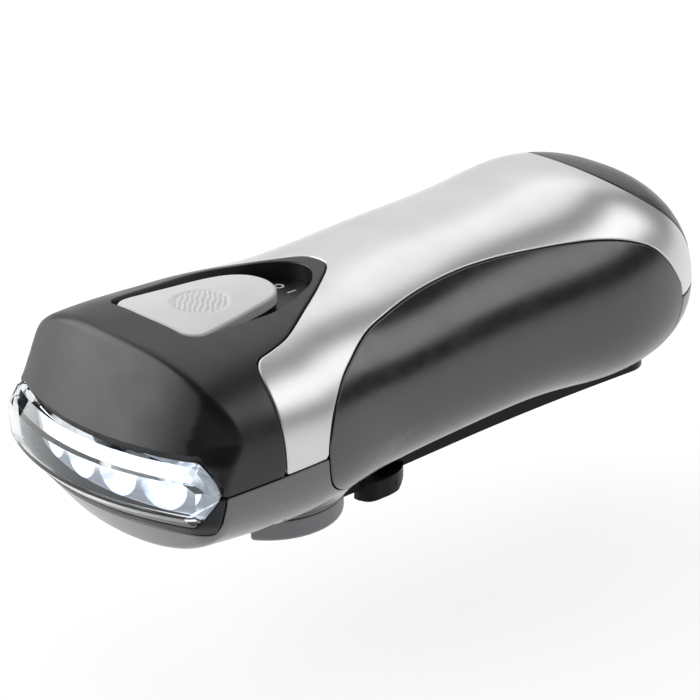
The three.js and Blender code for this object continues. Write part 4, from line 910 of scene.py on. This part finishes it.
def finish_piece(obj, name, look, body_name, *nodes, bevel=0.25, segments=2, angle=32, slotted=True, clean=True):
    """Rounds the edges, sets smooth shading, moves from mm to metres and puts the piece on its body."""
    if clean:
        bm = bmesh.new()
        bm.from_mesh(obj.data)
        bmesh.ops.remove_doubles(bm, verts=bm.verts, dist=0.004)
        bmesh.ops.dissolve_limit(bm, angle_limit=math.radians(0.6), verts=bm.verts, edges=bm.edges)
        bm.to_mesh(obj.data)
        bm.free()
    if bevel:
        m = obj.modifiers.new("edge", "BEVEL")
        m.width = bevel
        m.segments = segments
        m.limit_method = "ANGLE"
        m.angle_limit = math.radians(angle)
        m.use_clamp_overlap = True
        m.harden_normals = False
        settle(obj)
    obj.data.transform(Matrix.Scale(MM, 4))
    smooth(obj.data)
    obj.data.set_sharp_from_angle(angle=math.radians(40))
    w = obj.modifiers.new("shade", "WEIGHTED_NORMAL")
    w.keep_sharp = True
    settle(obj)
    obj.name = name
    obj.data.name = name
    obj.data.materials.clear()
    obj.data.materials.append(finishes[look])
    place_piece(obj, body_name, nodes)


# ---- casing panels

def sweep_patch(profile, turn):
    """A profile of (radius, height) swept round the crank's axis, with its own normals."""
    profile = np.asarray(profile, float)
    d = np.gradient(profile, axis=0)
    n = unit(columns(d[:, 1], -d[:, 0]))
    turn = turn[:, None]
    verts, normals = [columns(r * np.sin(turn), r * np.cos(turn), z + 0 * turn).reshape(-1, 3)
                      for r, z in (profile.T, n.T)]
    return verts + [0, HUB_S, 0], grid_tris(len(turn), len(profile)), normals


def flat_patch(loops, level, axis, side):
    """A flat face at a level of an axis, facing to a side of it; the loops are its outline and its holes."""
    tris = tessellate_polygon([[Vector((a, b, 0)) for a, b in loop] for loop in loops])
    verts = np.insert(np.concatenate(loops), axis, level, axis=1)
    return verts, np.array([list(t) for t in tris]), np.tile(np.insert([0.0, 0.0], axis, side), (len(verts), 1))


def channel_patch():
    """The roof and walls of the knob's channel, cut off at the casing's skin."""
    left = [[-CHANNEL_HALF, z] for z in np.linspace(0, 9.5, 20)] + [[-x, z] for x, z in CHANNEL_TOP]
    profile = round_corners(left + [[-x, z] for x, z in left[::-1]], 0.7, 4)[4:-4] + [CHANNEL_R, 0]
    verts, faces, normals = sweep_patch(profile, np.linspace(-0.42, 0.42, 150))
    if normals[:, 2].mean() > 0:
        normals = -normals
    both = np.concatenate([verts, normals], axis=1)

    def value(v):
        return inside(*v[:, :3].T)
    both, faces, f = cut(both, faces, value(both), 0.02, value)
    faces, both = drop_unused(faces[f[faces].max(1) > 0.021], both)
    return both[:, :3], faces, both[:, 3:]


def pocket_drop(rim, inner):
    """The pocket's wall goes straight down to its floor."""
    hit = (np.abs(POCKET(rim[:, 0], rim[:, 1])) < 0.8) & (rim[:, 2] > CROWN_LOW)
    inner[hit] = rim[hit]
    inner[hit, 2] = POCKET_FLOOR
    return inner


def screw_drop(rim, inner):
    """The screw holes' walls go straight up, and the boss's edge turns in."""
    x, s, h = rim.T
    for x0, s0 in SCREWS:
        hit = (np.abs(np.hypot(x - x0, s - s0) - SCREW_HOLE_R) < 0.6) & (h < UNDERSIDE)
        inner[hit] = rim[hit]
        inner[hit, 2] = SCREW_HOLE_TOP
    hit = (np.hypot(x, s - HUB_S) < 14.4) & (h < 8)
    inner[hit] = rim[hit]
    inner[hit, 2] += 0.6
    return inner


slot_hole = np.array([[-1.7, 25.7], [1.7, 25.7], [1.7, 37.3], [-1.7, 37.3]])
pocket_floor = flat_patch([POCKET.poly * [1.03, 1], slot_hole], POCKET_FLOOR, 2, 1.0)

foot_edge = [(13.0 + 0.3 * math.cos(a), BOSS_H - 0.3 * math.sin(a)) for a in quarter(7)]
boss_profile = [(BOSS_R, 4.75), *foot_edge, (10, 4.2), (7.6, 4.2), (7.3, 4.5), (7.3, 9)]
boss_foot = sweep_patch(boss_profile, np.linspace(0, 2 * math.pi, 145))
screw_seats = [flat_patch([circle(x, s, 3.3)], SCREW_HOLE_TOP, 2, -1.0) for x, s in SCREWS]

# name, rules, finish, replaced nodes, patches that face inside, and the panel's own sizes
PANELS = [
    ("head_cover_skin", [f_up, f_cover, f_window, f_pocket], "cover_black", ["head_cover"], [pocket_floor],
     dict(radius=0.35, drop=pocket_drop, lip=(f_lip, 1.5, 1.5))),
    ("top_shell_skin", [f_up, beyond(f_cover), beyond(f_grip),
                        lambda x, s, h: np.maximum(-f_inlay(x, s, h), -f_inlay_low(x, s, h))],
     "shell_silver", ["top_shell"], [], {}),
    ("bottom_shell_skin", [beyond(f_up), beyond(f_grip), f_sill, f_channel, f_boss, f_screws],
     "shell_grey", ["bottom_shell"], [boss_foot, *screw_seats, channel_patch()], dict(drop=screw_drop)),
    # the sill strip: part of the bottom shell, in near black as painted shade along the window's lower edge
    ("window_sill_painted_shade", [beyond(f_up), f_window, beyond(f_sill)], "window_sill_painted_shade", [], [], dict(gap=0.05, radius=0.45)),
    ("side_grip_right_skin", [f_grip, lambda x, s, h: x.copy()], "grip_black", ["side_grip_right"], [], {}),
    ("side_grip_left_skin", [f_grip, lambda x, s, h: -x], "grip_black", ["side_grip_left"], [], {}),
    ("tail_inlay_skin", [f_inlay, f_inlay_low], "inlay_grey", ["tail_inlay"], [], {}),
]
for name, rules, look, nodes, patches, sizes in PANELS:
    slot = "shell_grey" if name == "window_sill_painted_shade" else look
    casing_skin(name, [panel(rules, **sizes), *patches], look, slot, *nodes)


# ---- lens, mirror block and lamps

def lens_piece():
    """The clear window: bevelled all round, bent to the nose's arc and pointed at both ends."""
    flat_end = 23.4
    ends = np.array([flat_end, 24.35, 25.3, 26.15, 26.98])
    xs = np.concatenate([-ends[::-1], np.linspace(-flat_end, flat_end, 63)[1:-1], ends])
    rings = []
    for x in xs:
        run = max(abs(x) - flat_end, 0) / 3.6
        top = LENS_HIGH + run * (23.6 - LENS_HIGH)
        bottom = LENS_LOW + run * (22.8 - LENS_LOW)
        fade = min((27 - abs(x)) / 1.7, 1)
        front = float(lens_arc(x))
        proud = front - 2 * fade
        tall = (top - bottom) / 11
        up, down = 2.3 * tall * fade + 0.2 * tall, 2.0 * tall * fade + 0.2 * tall
        rings.append([(x, front, bottom), (x, proud, bottom + down), (x, proud, top - up), (x, front, top),
                      (x, front + 2.0, top), (x, proud + 1.7, top - up - 0.3 * tall),
                      (x, proud + 1.7, bottom + down + 0.3 * tall), (x, front + 2.0, bottom)])
    verts = [(x, s + NOSE_Y, h) for ring in rings for x, s, h in ring]
    faces = [(i * 8 + j, i * 8 + (j + 1) % 8, i * 8 + 8 + (j + 1) % 8, i * 8 + 8 + j)
             for i in range(len(rings) - 1) for j in range(8)]
    faces += [tuple(range(8))[::-1], tuple(range(len(verts) - 8, len(verts)))]
    finish_piece(solid(verts, faces), "lens_window", "lens_clear", "casing", "lens", bevel=0.1, angle=20,
                 clean=False)


lens_piece()

CUP_PITCH = 0.36 * 27
CUP_XS = [n * CUP_PITCH for n in (-1.5, -0.5, 0.5, 1.5)]
MIRROR_END = 15.6  # setback of the mirror block's rear end, where the lamps start
LAMP_LONG = 8.2


def cups_piece():
    """The mirror block: a front plate bent to the lens's arc, with four deep cups; its chrome's faint glow is
    painted light.
    """
    mouth, throat = 4.4, 2.75
    front, back = 4.6, 5.8  # setbacks of the plate's faces
    corners = [[-25.3, 22.6], [-22.6, 17.7], [22.6, 17.7], [25.3, 22.6], [25.3, 23.6], [22.6, 27.9],
               [-22.6, 27.9], [-25.3, 23.6]]
    plate = round_corners(corners, 0.8, 5)
    ring = []
    for a, b in zip(plate, np.roll(plate, -1, axis=0)):
        k = max(int(np.linalg.norm(b - a) / 1.2), 1)
        ring += [a + (b - a) * j / k for j in range(k)]
    ring = np.array(ring)
    patches = [flat_patch([ring, *[circle(x, LAMP_H, mouth, 72)[::-1] for x in CUP_XS]], front, 1, -1.0)]
    # the plate's edge and the block's sides
    n = len(ring)
    i = np.arange(n)
    j = (i + 1) % n
    out = np.insert(unit(ring - ring.mean(0)), 1, 0, axis=1)
    patches.append((np.concatenate([np.insert(ring, 1, s, axis=1) for s in (front, back)]),
                    np.concatenate([columns(i, j, n + j), columns(i, n + j, n + i)]), np.concatenate([out, out])))
    box = np.array([(-20.4, 17.0), (20.4, 17.0), (20.4, 27.0), (-20.4, 27.0)])
    for a, b in zip(box, np.roll(box, -1, axis=0)):
        d = unit((a + b) / 2 - [0, LAMP_H])
        sides = [(a[0], back, a[1]), (b[0], back, b[1]), (b[0], MIRROR_END, b[1]), (a[0], MIRROR_END, a[1])]
        patches.append((np.array(sides), np.array([(0, 1, 2), (0, 2, 3)]), np.tile([d[0], 0, d[1]], (4, 1))))
    depth = np.linspace(0, 1, 22) ** 1.2
    r = np.append(np.sqrt(throat ** 2 + (mouth ** 2 - throat ** 2) * (1 - depth)), throat)
    s = np.append(front + depth * 7.6, MIRROR_END)
    a = np.linspace(0, 2 * math.pi, 73)[:, None]
    wide = np.ones((len(a), len(r)))
    normals = unit(columns(-np.cos(a) * wide, np.gradient(r, s) * wide, -np.sin(a) * wide)).reshape(-1, 3)
    for x in CUP_XS:
        cup = columns(x + r * np.cos(a), s * wide, LAMP_H + r * np.sin(a)).reshape(-1, 3)
        patches.append((cup, grid_tris(*wide.shape), normals))
    verts, faces, normals = joined(patches)
    verts[:, 1] += lens_arc(verts[:, 0]) * np.clip((12.0 - verts[:, 1]) / 7.4, 0, 1)
    return verts, faces, normals


casing_skin("mirror_block", [cups_piece()], "reflector_chrome", "reflector_chrome", "reflector")


def lamp_piece(number, x):
    """A 5 mm lamp: clear domed body with its flange, and the bright die cup and posts inside it."""
    dome = [(2.5 * math.sin(a), 2.5 - 2.5 * math.cos(a)) for a in quarter(18)[1:]]
    parts = [
        ("body", "lamp_clear", turned(0, 0, [(0, 0), *dome, (2.5, 6.9), (2.75, 7.0), (2.75, 8.15), (0, 8.15)], 64)),
        ("cup", "reflector_chrome",
         turned(0, 0, [(0, 3.9), (0.35, 3.9), (0.62, 3.2), (0.72, 3.2), (0.5, 4.4), (0, 4.4)], 32)),
        ("chip", "lamp_chip", turned(0, 0, [(0, 3.55), (0.3, 3.62), (0.42, 3.8), (0, 3.88)], 24)),
        ("post_a", "steel", block(-0.22, 0.22, -0.22, 0.22, 4.38, 8.4)),
        ("post_b", "steel", block(0.75, 1.35, -0.22, 0.22, 3.3, 8.4)),
    ]
    tip = Vector((x, MIRROR_END + NOSE_Y - LAMP_LONG, LAMP_H))
    for part, look, obj in parts:
        obj.data.transform(Matrix.Translation(tip) @ Matrix.Rotation(-math.pi / 2, 4, "X"))
        main = part == "body"
        finish_piece(obj, "lamp_%d_%s" % (number, part), look, "casing", *(["lamp_%d" % number] if main else []),
                     bevel=0, slotted=main)


for number, x in enumerate(CUP_XS, 1):
    lamp_piece(number, x)


# ---- switch

def cap_piece():
    """The thumb cap: follows the crown, with a rounded edge and a shallow oval dish with fine wavy ribs."""
    step = 0.28
    xs = np.arange(-12, 12.01, step)
    ss = np.arange(14.5, 44.5, step)
    x, s = np.meshgrid(xs, ss, indexing="ij")
    p = columns(x.ravel(), s.ravel())
    tris = grid_tris(len(xs), len(ss))
    radius = 0.55
    sunk = 0.42
    bottom = 42.2

    def value(q):
        return CAP_FIELD(*q.T)
    f = value(p)
    tris = tris[(f[tris] > -1).any(1)]
    p, tris, f = cut(p, tris, f, 0.0, value)
    tris = tris[f[tris].max(1) > 1e-9]
    for share in (0.03, 0.12, 0.28, 0.5, 0.75, 1.0):
        p, tris, f = cut(p, tris, f, share * radius, value)
    tris, p, f = drop_unused(tris, p, f)
    x, s = p.T
    u = ((x - 0.4) + (s - 27.2)) / math.sqrt(2)
    v = ((s - 27.2) - (x - 0.4)) / math.sqrt(2)
    pad = np.clip((1 - np.sqrt((u / 5.3) ** 2 + (v / 5.5) ** 2)) / 0.14, 0, 1)
    pad = pad * pad * (3 - 2 * pad)
    wave = np.sin(2 * math.pi * (u + 0.13 * np.sin(2 * math.pi * v / 4.4 + 1.3 * u)) / 0.95)
    lean = np.clip((radius - f) / radius, 0, 1)
    z = (crown_height(x, s) - sunk - 0.22 * pad + 0.12 * pad * np.clip(wave, -0.7, 1)
         - radius * (1 - np.sqrt(np.clip(1 - lean ** 2, 0, 1))))
    at = columns(x, s, z)
    rim, low, walls = edge_wall(len(at), open_edges(tris))
    below = at[rim]
    below[:, 2] = bottom
    centre = np.full(len(low), len(at) + len(rim))
    verts = np.concatenate([at, below, [[0, 28, bottom]]]) + [0, NOSE_Y, 0]
    faces = np.concatenate([tris, walls, columns(low[:, 1], low[:, 0], centre)])
    finish_piece(solid(verts, faces), "switch_cap_top", "cap_grey", "switch", "switch_cap", bevel=0, clean=False)


cap_piece()


def inset(outline, distance):
    """Moves a closed outline inward by a distance."""
    poly = np.array(outline, float)
    area = np.sum(poly[:, 0] * np.roll(poly[:, 1], -1) - np.roll(poly[:, 0], -1) * poly[:, 1])
    e = np.roll(poly, -1, axis=0) - np.roll(poly, 1, axis=0)
    return poly + unit(columns(-e[:, 1], e[:, 0])) * distance * np.sign(area)


# plain off and on marks, printed on the pocket's floor behind the slider
PRINT_TOP = POCKET_FLOOR + 0.05
ring = turned(-1.7, 46.6 + NOSE_Y, [(0.62, POCKET_FLOOR), (0.95, POCKET_FLOOR), (0.95, PRINT_TOP),
                                    (0.62, PRINT_TOP), (0.62, POCKET_FLOOR)], 32)
bar = block(1.5, 1.85, 45.65 + NOSE_Y, 47.55 + NOSE_Y, POCKET_FLOOR, PRINT_TOP)
for mark, name in ((ring, "mark_off"), (bar, "mark_on")):
    finish_piece(mark, name, "cap_grey", "casing", bevel=0)

slider = prism(inset(CAP, 0.1) + [0, NOSE_Y], 41.32, 42.17)
combine(slider, block(-1.4, 1.4, 26 + NOSE_Y, 31 + NOSE_Y, 38.4, 41.5), operation="UNION")
finish_piece(slider, "switch_slider_body", "inner_black", "switch", "switch_slider", bevel=0.2)

# ---- crank

HUB_Y = HUB_S + NOSE_Y
HINGE_Y = HINGE_S + NOSE_Y
KNOB_Y = KNOB_S + NOSE_Y
TIP_Y = TIP_S + NOSE_Y
PIN_Z = 1.8
SLOT_TOP = 1.7  # the arm's slot in the hub
ARM_HALF = 6.6
ARM_THICK = 2.6

hub_ring = turned(0, HUB_Y, [(0, 0), (12.0, 0), (12.35, 0.08), (12.7, 0.3), (12.92, 0.65), (13.0, 1.0), (13.0, 3.75),
                             (12.9, 3.9), (0, 3.9)], 144)
combine(hub_ring, cylinder(HUB_Y, 12.4, 1.4, 5, 128),
        block(-7.2, 7.2, HUB_Y - 20, HUB_Y + 20, -1, SLOT_TOP),
        block(-8.1, 8.1, HUB_Y, HUB_Y + 20, 1.4, 5))
finish_piece(hub_ring, "hub_cap_ring", "hub_grey", "crank", "hub_cap", bevel=0.15)


def rod(x0, x1, r):
    """A rod across the hinge."""
    return bar_across(circle(HINGE_Y, PIN_Z, r), x0, x1)


def yoke_piece():
    """The yoke: a disc in the hub, a neck and two cheeks that hug the arm."""
    half = 10.4
    disc_r = 12.1
    neck = 0.75 * half
    neck_end = HINGE_Y - 6.6
    disc_end = HUB_Y + BOSS_R
    cheek = [(x * half, HINGE_Y + y * 12)
             for x, y in ((0.94, -0.5), (1, -0.38), (1, -0.05), (0.94, 0.16), (0.82, 0.33), (0.67, 0.45))]
    turn = np.linspace(-math.pi / 2, math.atan2(math.sqrt(disc_r ** 2 - neck ** 2), neck), 60)
    disc = [(disc_r * math.cos(a), HUB_Y + disc_r * math.sin(a)) for a in turn]
    right = [*disc, (neck, neck_end), *cheek, (0, cheek[-1][1])]
    outline = right + [(-x, y) for x, y in right[::-1][1:-1]]
    yoke = prism(round_corners(outline, 1.6), 0, 3.6)
    combine(yoke, block(-6.9, 6.9, HINGE_Y - 2.05, HINGE_Y + 30, -1, 6),
            block(-40, 40, HUB_Y - 40, disc_end, -1, SLOT_TOP),
            block(-6.9, 6.9, HUB_Y - 40, HINGE_Y + 30, -1, SLOT_TOP),
            block(-12, 12, disc_end, neck_end, -1, SLOT_TOP))
    combine(yoke, cylinder(HUB_Y, 5.1, 3.3, 10, 64), operation="UNION")
    wedge = [(HINGE_Y + y, z) for y, z in ((0.6, -0.5), (5.6, 2.1), (5.6, -0.5))]
    combine(yoke, cylinder(HUB_Y, 3.1, 3, 11, 48),
            turned(0, HUB_Y, [(0, 0), (2.7, 0), (2.7, 2.7), (1.4, 2.7), (1.4, 4), (0, 4)], 48),
            rod(-10.1, 10.1, 0.95), bar_across(wedge, -12, 12))
    finish_piece(yoke, "crank_yoke_body", "arm_black", "crank", "crank_yoke", bevel=0.45)


yoke_piece()
finish_piece(rod(-9.9, 9.9, 0.93), "hinge_pin_rod", "steel", "crank", "hinge_pin", bevel=0.15)


def arm_low(t):
    """The height of the arm's arched underside, at a share of its length."""
    return 2.2 + 0.7 * math.sin(math.pi * t)


def arm_piece():
    """The folding arm: an arched strip with a round end, an eye for the pin and a hole for the knob's axle."""
    steps = 60
    lower = [(HINGE_Y + i / steps * (TIP_Y - HINGE_Y), arm_low(i / steps)) for i in range(steps + 1)]
    arm = bar_across(lower + [(y, z + ARM_THICK) for y, z in lower[::-1]], -ARM_HALF, ARM_HALF)
    corner = 6.5
    end = [(corner * math.cos(a) + 0.1, TIP_Y - corner + corner * math.sin(a)) for a in quarter(24)]
    plan = [(-ARM_HALF, HINGE_Y - 20), (ARM_HALF, HINGE_Y - 20), *end, *[(-x, y) for x, y in end[::-1]]]
    combine(arm, prism(plan, -1, 12), operation="INTERSECT")
    combine(arm, rod(-ARM_HALF, ARM_HALF, 1.75), operation="UNION")
    combine(arm, rod(-12, 12, 1.1), cylinder(KNOB_Y, 1.8, -1, 12, 48))
    finish_piece(arm, "crank_arm_body", "arm_black", "arm", "crank_arm", bevel=0.75, segments=3, angle=50)


arm_piece()


def flutes(r, z, a):
    """18 shallow flutes round the knob's side, below its dome."""
    return r if r < 5.6 or z > 9.6 else r - 0.16 * (0.5 - 0.5 * math.cos(18 * a))


arch = arm_low((KNOB_Y - HINGE_Y) / (TIP_Y - HINGE_Y))
foot = arch + ARM_THICK + 0.3
dome = [(6 * x, 9.4 + 3 * z) for x, z in spline([(1, 0), (0.97, 0.12), (0.9, 0.34), (0.8, 0.55), (0.72, 0.68),
                                                (0.6, 0.86), (0.5, 0.98)], step=0.05)]
knob = turned(0, KNOB_Y, [(1.8, foot), (5.3, foot), (5.7, foot + 0.25), (5.95, foot + 0.7), (6.0, foot + 1.1),
                          (6.0, 8.4), (5.98, 9.4), *dome[2:], (2.95, 12.38), (2.9, 10.1), (1.8, 10.1)],
              144, wave=flutes)
finish_piece(knob, "crank_knob_body", "arm_black", "knob", "crank_knob", bevel=0)
axle = turned(0, KNOB_Y, [(0, 0), (2.4, 0), (3.0, 0.25), (3.45, 0.7), (3.6, 1.2), (3.6, arch - 0.3),
                          (1.5, arch - 0.3), (1.5, 10.4), (2.6, 10.4), (2.6, 11.9), (2.3, 12.1), (0, 12.1)], 64)
finish_piece(axle, "knob_axle_body", "steel", "arm", "knob_axle", bevel=0.08)


def screw_piece(name, node, x, y, foot_z, head_z, stem_r, top_z, body_name):
    """A pan-head screw seen from below, with a cross recess."""
    head_r = 2.4
    dome = [(head_r * math.sin(a), foot_z + 0.45 - 0.45 * math.cos(a)) for a in quarter(8)]
    screw = turned(x, y, [*dome, (head_r, head_z), (stem_r, head_z), (stem_r, top_z - stem_r), (0, top_z)], 64)
    narrow = head_r * 0.16
    long = head_r * 0.62
    combine(screw, *[block(x - a, x + a, y - b, y + b, foot_z - 1, foot_z + 0.75)
                     for a, b in ((narrow, long), (long, narrow))])
    finish_piece(screw, name, "steel", body_name, node, bevel=0.05)


for (x, s), where in zip(SCREWS, ("front_right", "front_left", "rear_right", "rear_left")):
    screw_piece("screw_" + where, "case_screw_" + where, x, s + NOSE_Y, 11.3, 12.9, 1.2, 29.2, "casing")
screw_piece("hub_screw_cross", "hub_screw", 0, HUB_Y, 2.0, 2.55, 1.1, 11.2, "crank")


# ---- studio

def make_floor():
    """A plain pale floor that camera, gloss and glass see as near white, and that keeps the object's shadow."""
    below = -0.02  # mm, so that it doesn't coincide with the hub's base
    floor = solid([(x, y, below) for x, y in ((-3000, -3000), (3000, -3000), (3000, 3000), (-3000, 3000))],
                  [(0, 1, 2, 3)], "floor")
    m = Nodes("floor_pale", (0.8, 0.8, 0.8), 0.8, Specular_IOR_Level=0.0)
    m.tint(m.noise(6, 2), 0.995, 1.005)
    path = m.node("ShaderNodeLightPath")
    seen = path.outputs["Is Camera Ray"]
    for kind in ("Is Glossy Ray", "Is Transmission Ray"):
        either = m.node("ShaderNodeMath", operation="MAXIMUM")
        m.link(seen, either.inputs[0])
        m.link(path.outputs[kind], either.inputs[1])
        seen = either.outputs[0]
    pale = m.node("ShaderNodeBsdfDiffuse", Color=(0.26, 0.26, 0.26, 1))
    white = m.node("ShaderNodeEmission", Strength=0.8)
    added = m.node("ShaderNodeAddShader")
    mix = m.node("ShaderNodeMixShader")
    for source, target in ((pale.outputs[0], added.inputs[0]), (white.outputs[0], added.inputs[1]),
                           (seen, mix.inputs["Fac"]), (m.bsdf.outputs[0], mix.inputs[1]),
                           (added.outputs[0], mix.inputs[2]),
                           (mix.outputs[0], m.tree.nodes["Material Output"].inputs["Surface"])):
        m.link(source, target)
    floor.data.materials.append(m.mat)


def make_lights():
    """A dim white world, soft boxes to the camera's left and right, and two behind: one low and one high."""
    world = bpy.data.worlds.new("studio")
    bpy.context.scene.world = world
    world.use_nodes = True
    back = world.node_tree.nodes["Background"]
    back.inputs["Color"].default_value = (1, 1, 1, 1)
    back.inputs["Strength"].default_value = 0.07
    # name, azimuth and elevation in degrees, distance and size in metres, watts
    for name, azimuth, elevation, distance, size, power in (
            ("soft_box_left", -135, 25, 1.0, (1.3, 0.8), 11.0), ("soft_box_right", 50, 29, 1.0, (1.0, 0.42), 2.5),
            ("soft_box_back", 140, 25, 1.1, (1.6, 0.9), 3.0), ("soft_box_top", 140, 70, 1.2, (1.3, 1.3), 6.5)):
        a, e = math.radians(azimuth), math.radians(elevation)
        place = Vector((math.cos(a) * math.cos(e), math.sin(a) * math.cos(e), math.sin(e))) * distance
        data = bpy.data.lights.new(name, "AREA")
        data.shape = "RECTANGLE"
        data.size, data.size_y = size
        data.energy = power
        lamp = add_object(name, data)
        lamp.location = place + Vector((0, 0, 0.02))
        lamp.rotation_euler = (-place).to_track_quat("-Z", "Y").to_euler()


make_floor()
make_lights()
bpy.context.scene.view_settings.view_transform = "Standard"

# every CAD node that stays visible gets the finish that its own material names
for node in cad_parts.values():
    for slot in node.material_slots:
        base = slot.material.name.split(".")[0] if slot.material else ""
        if base in finishes:
            slot.material = finishes[base]
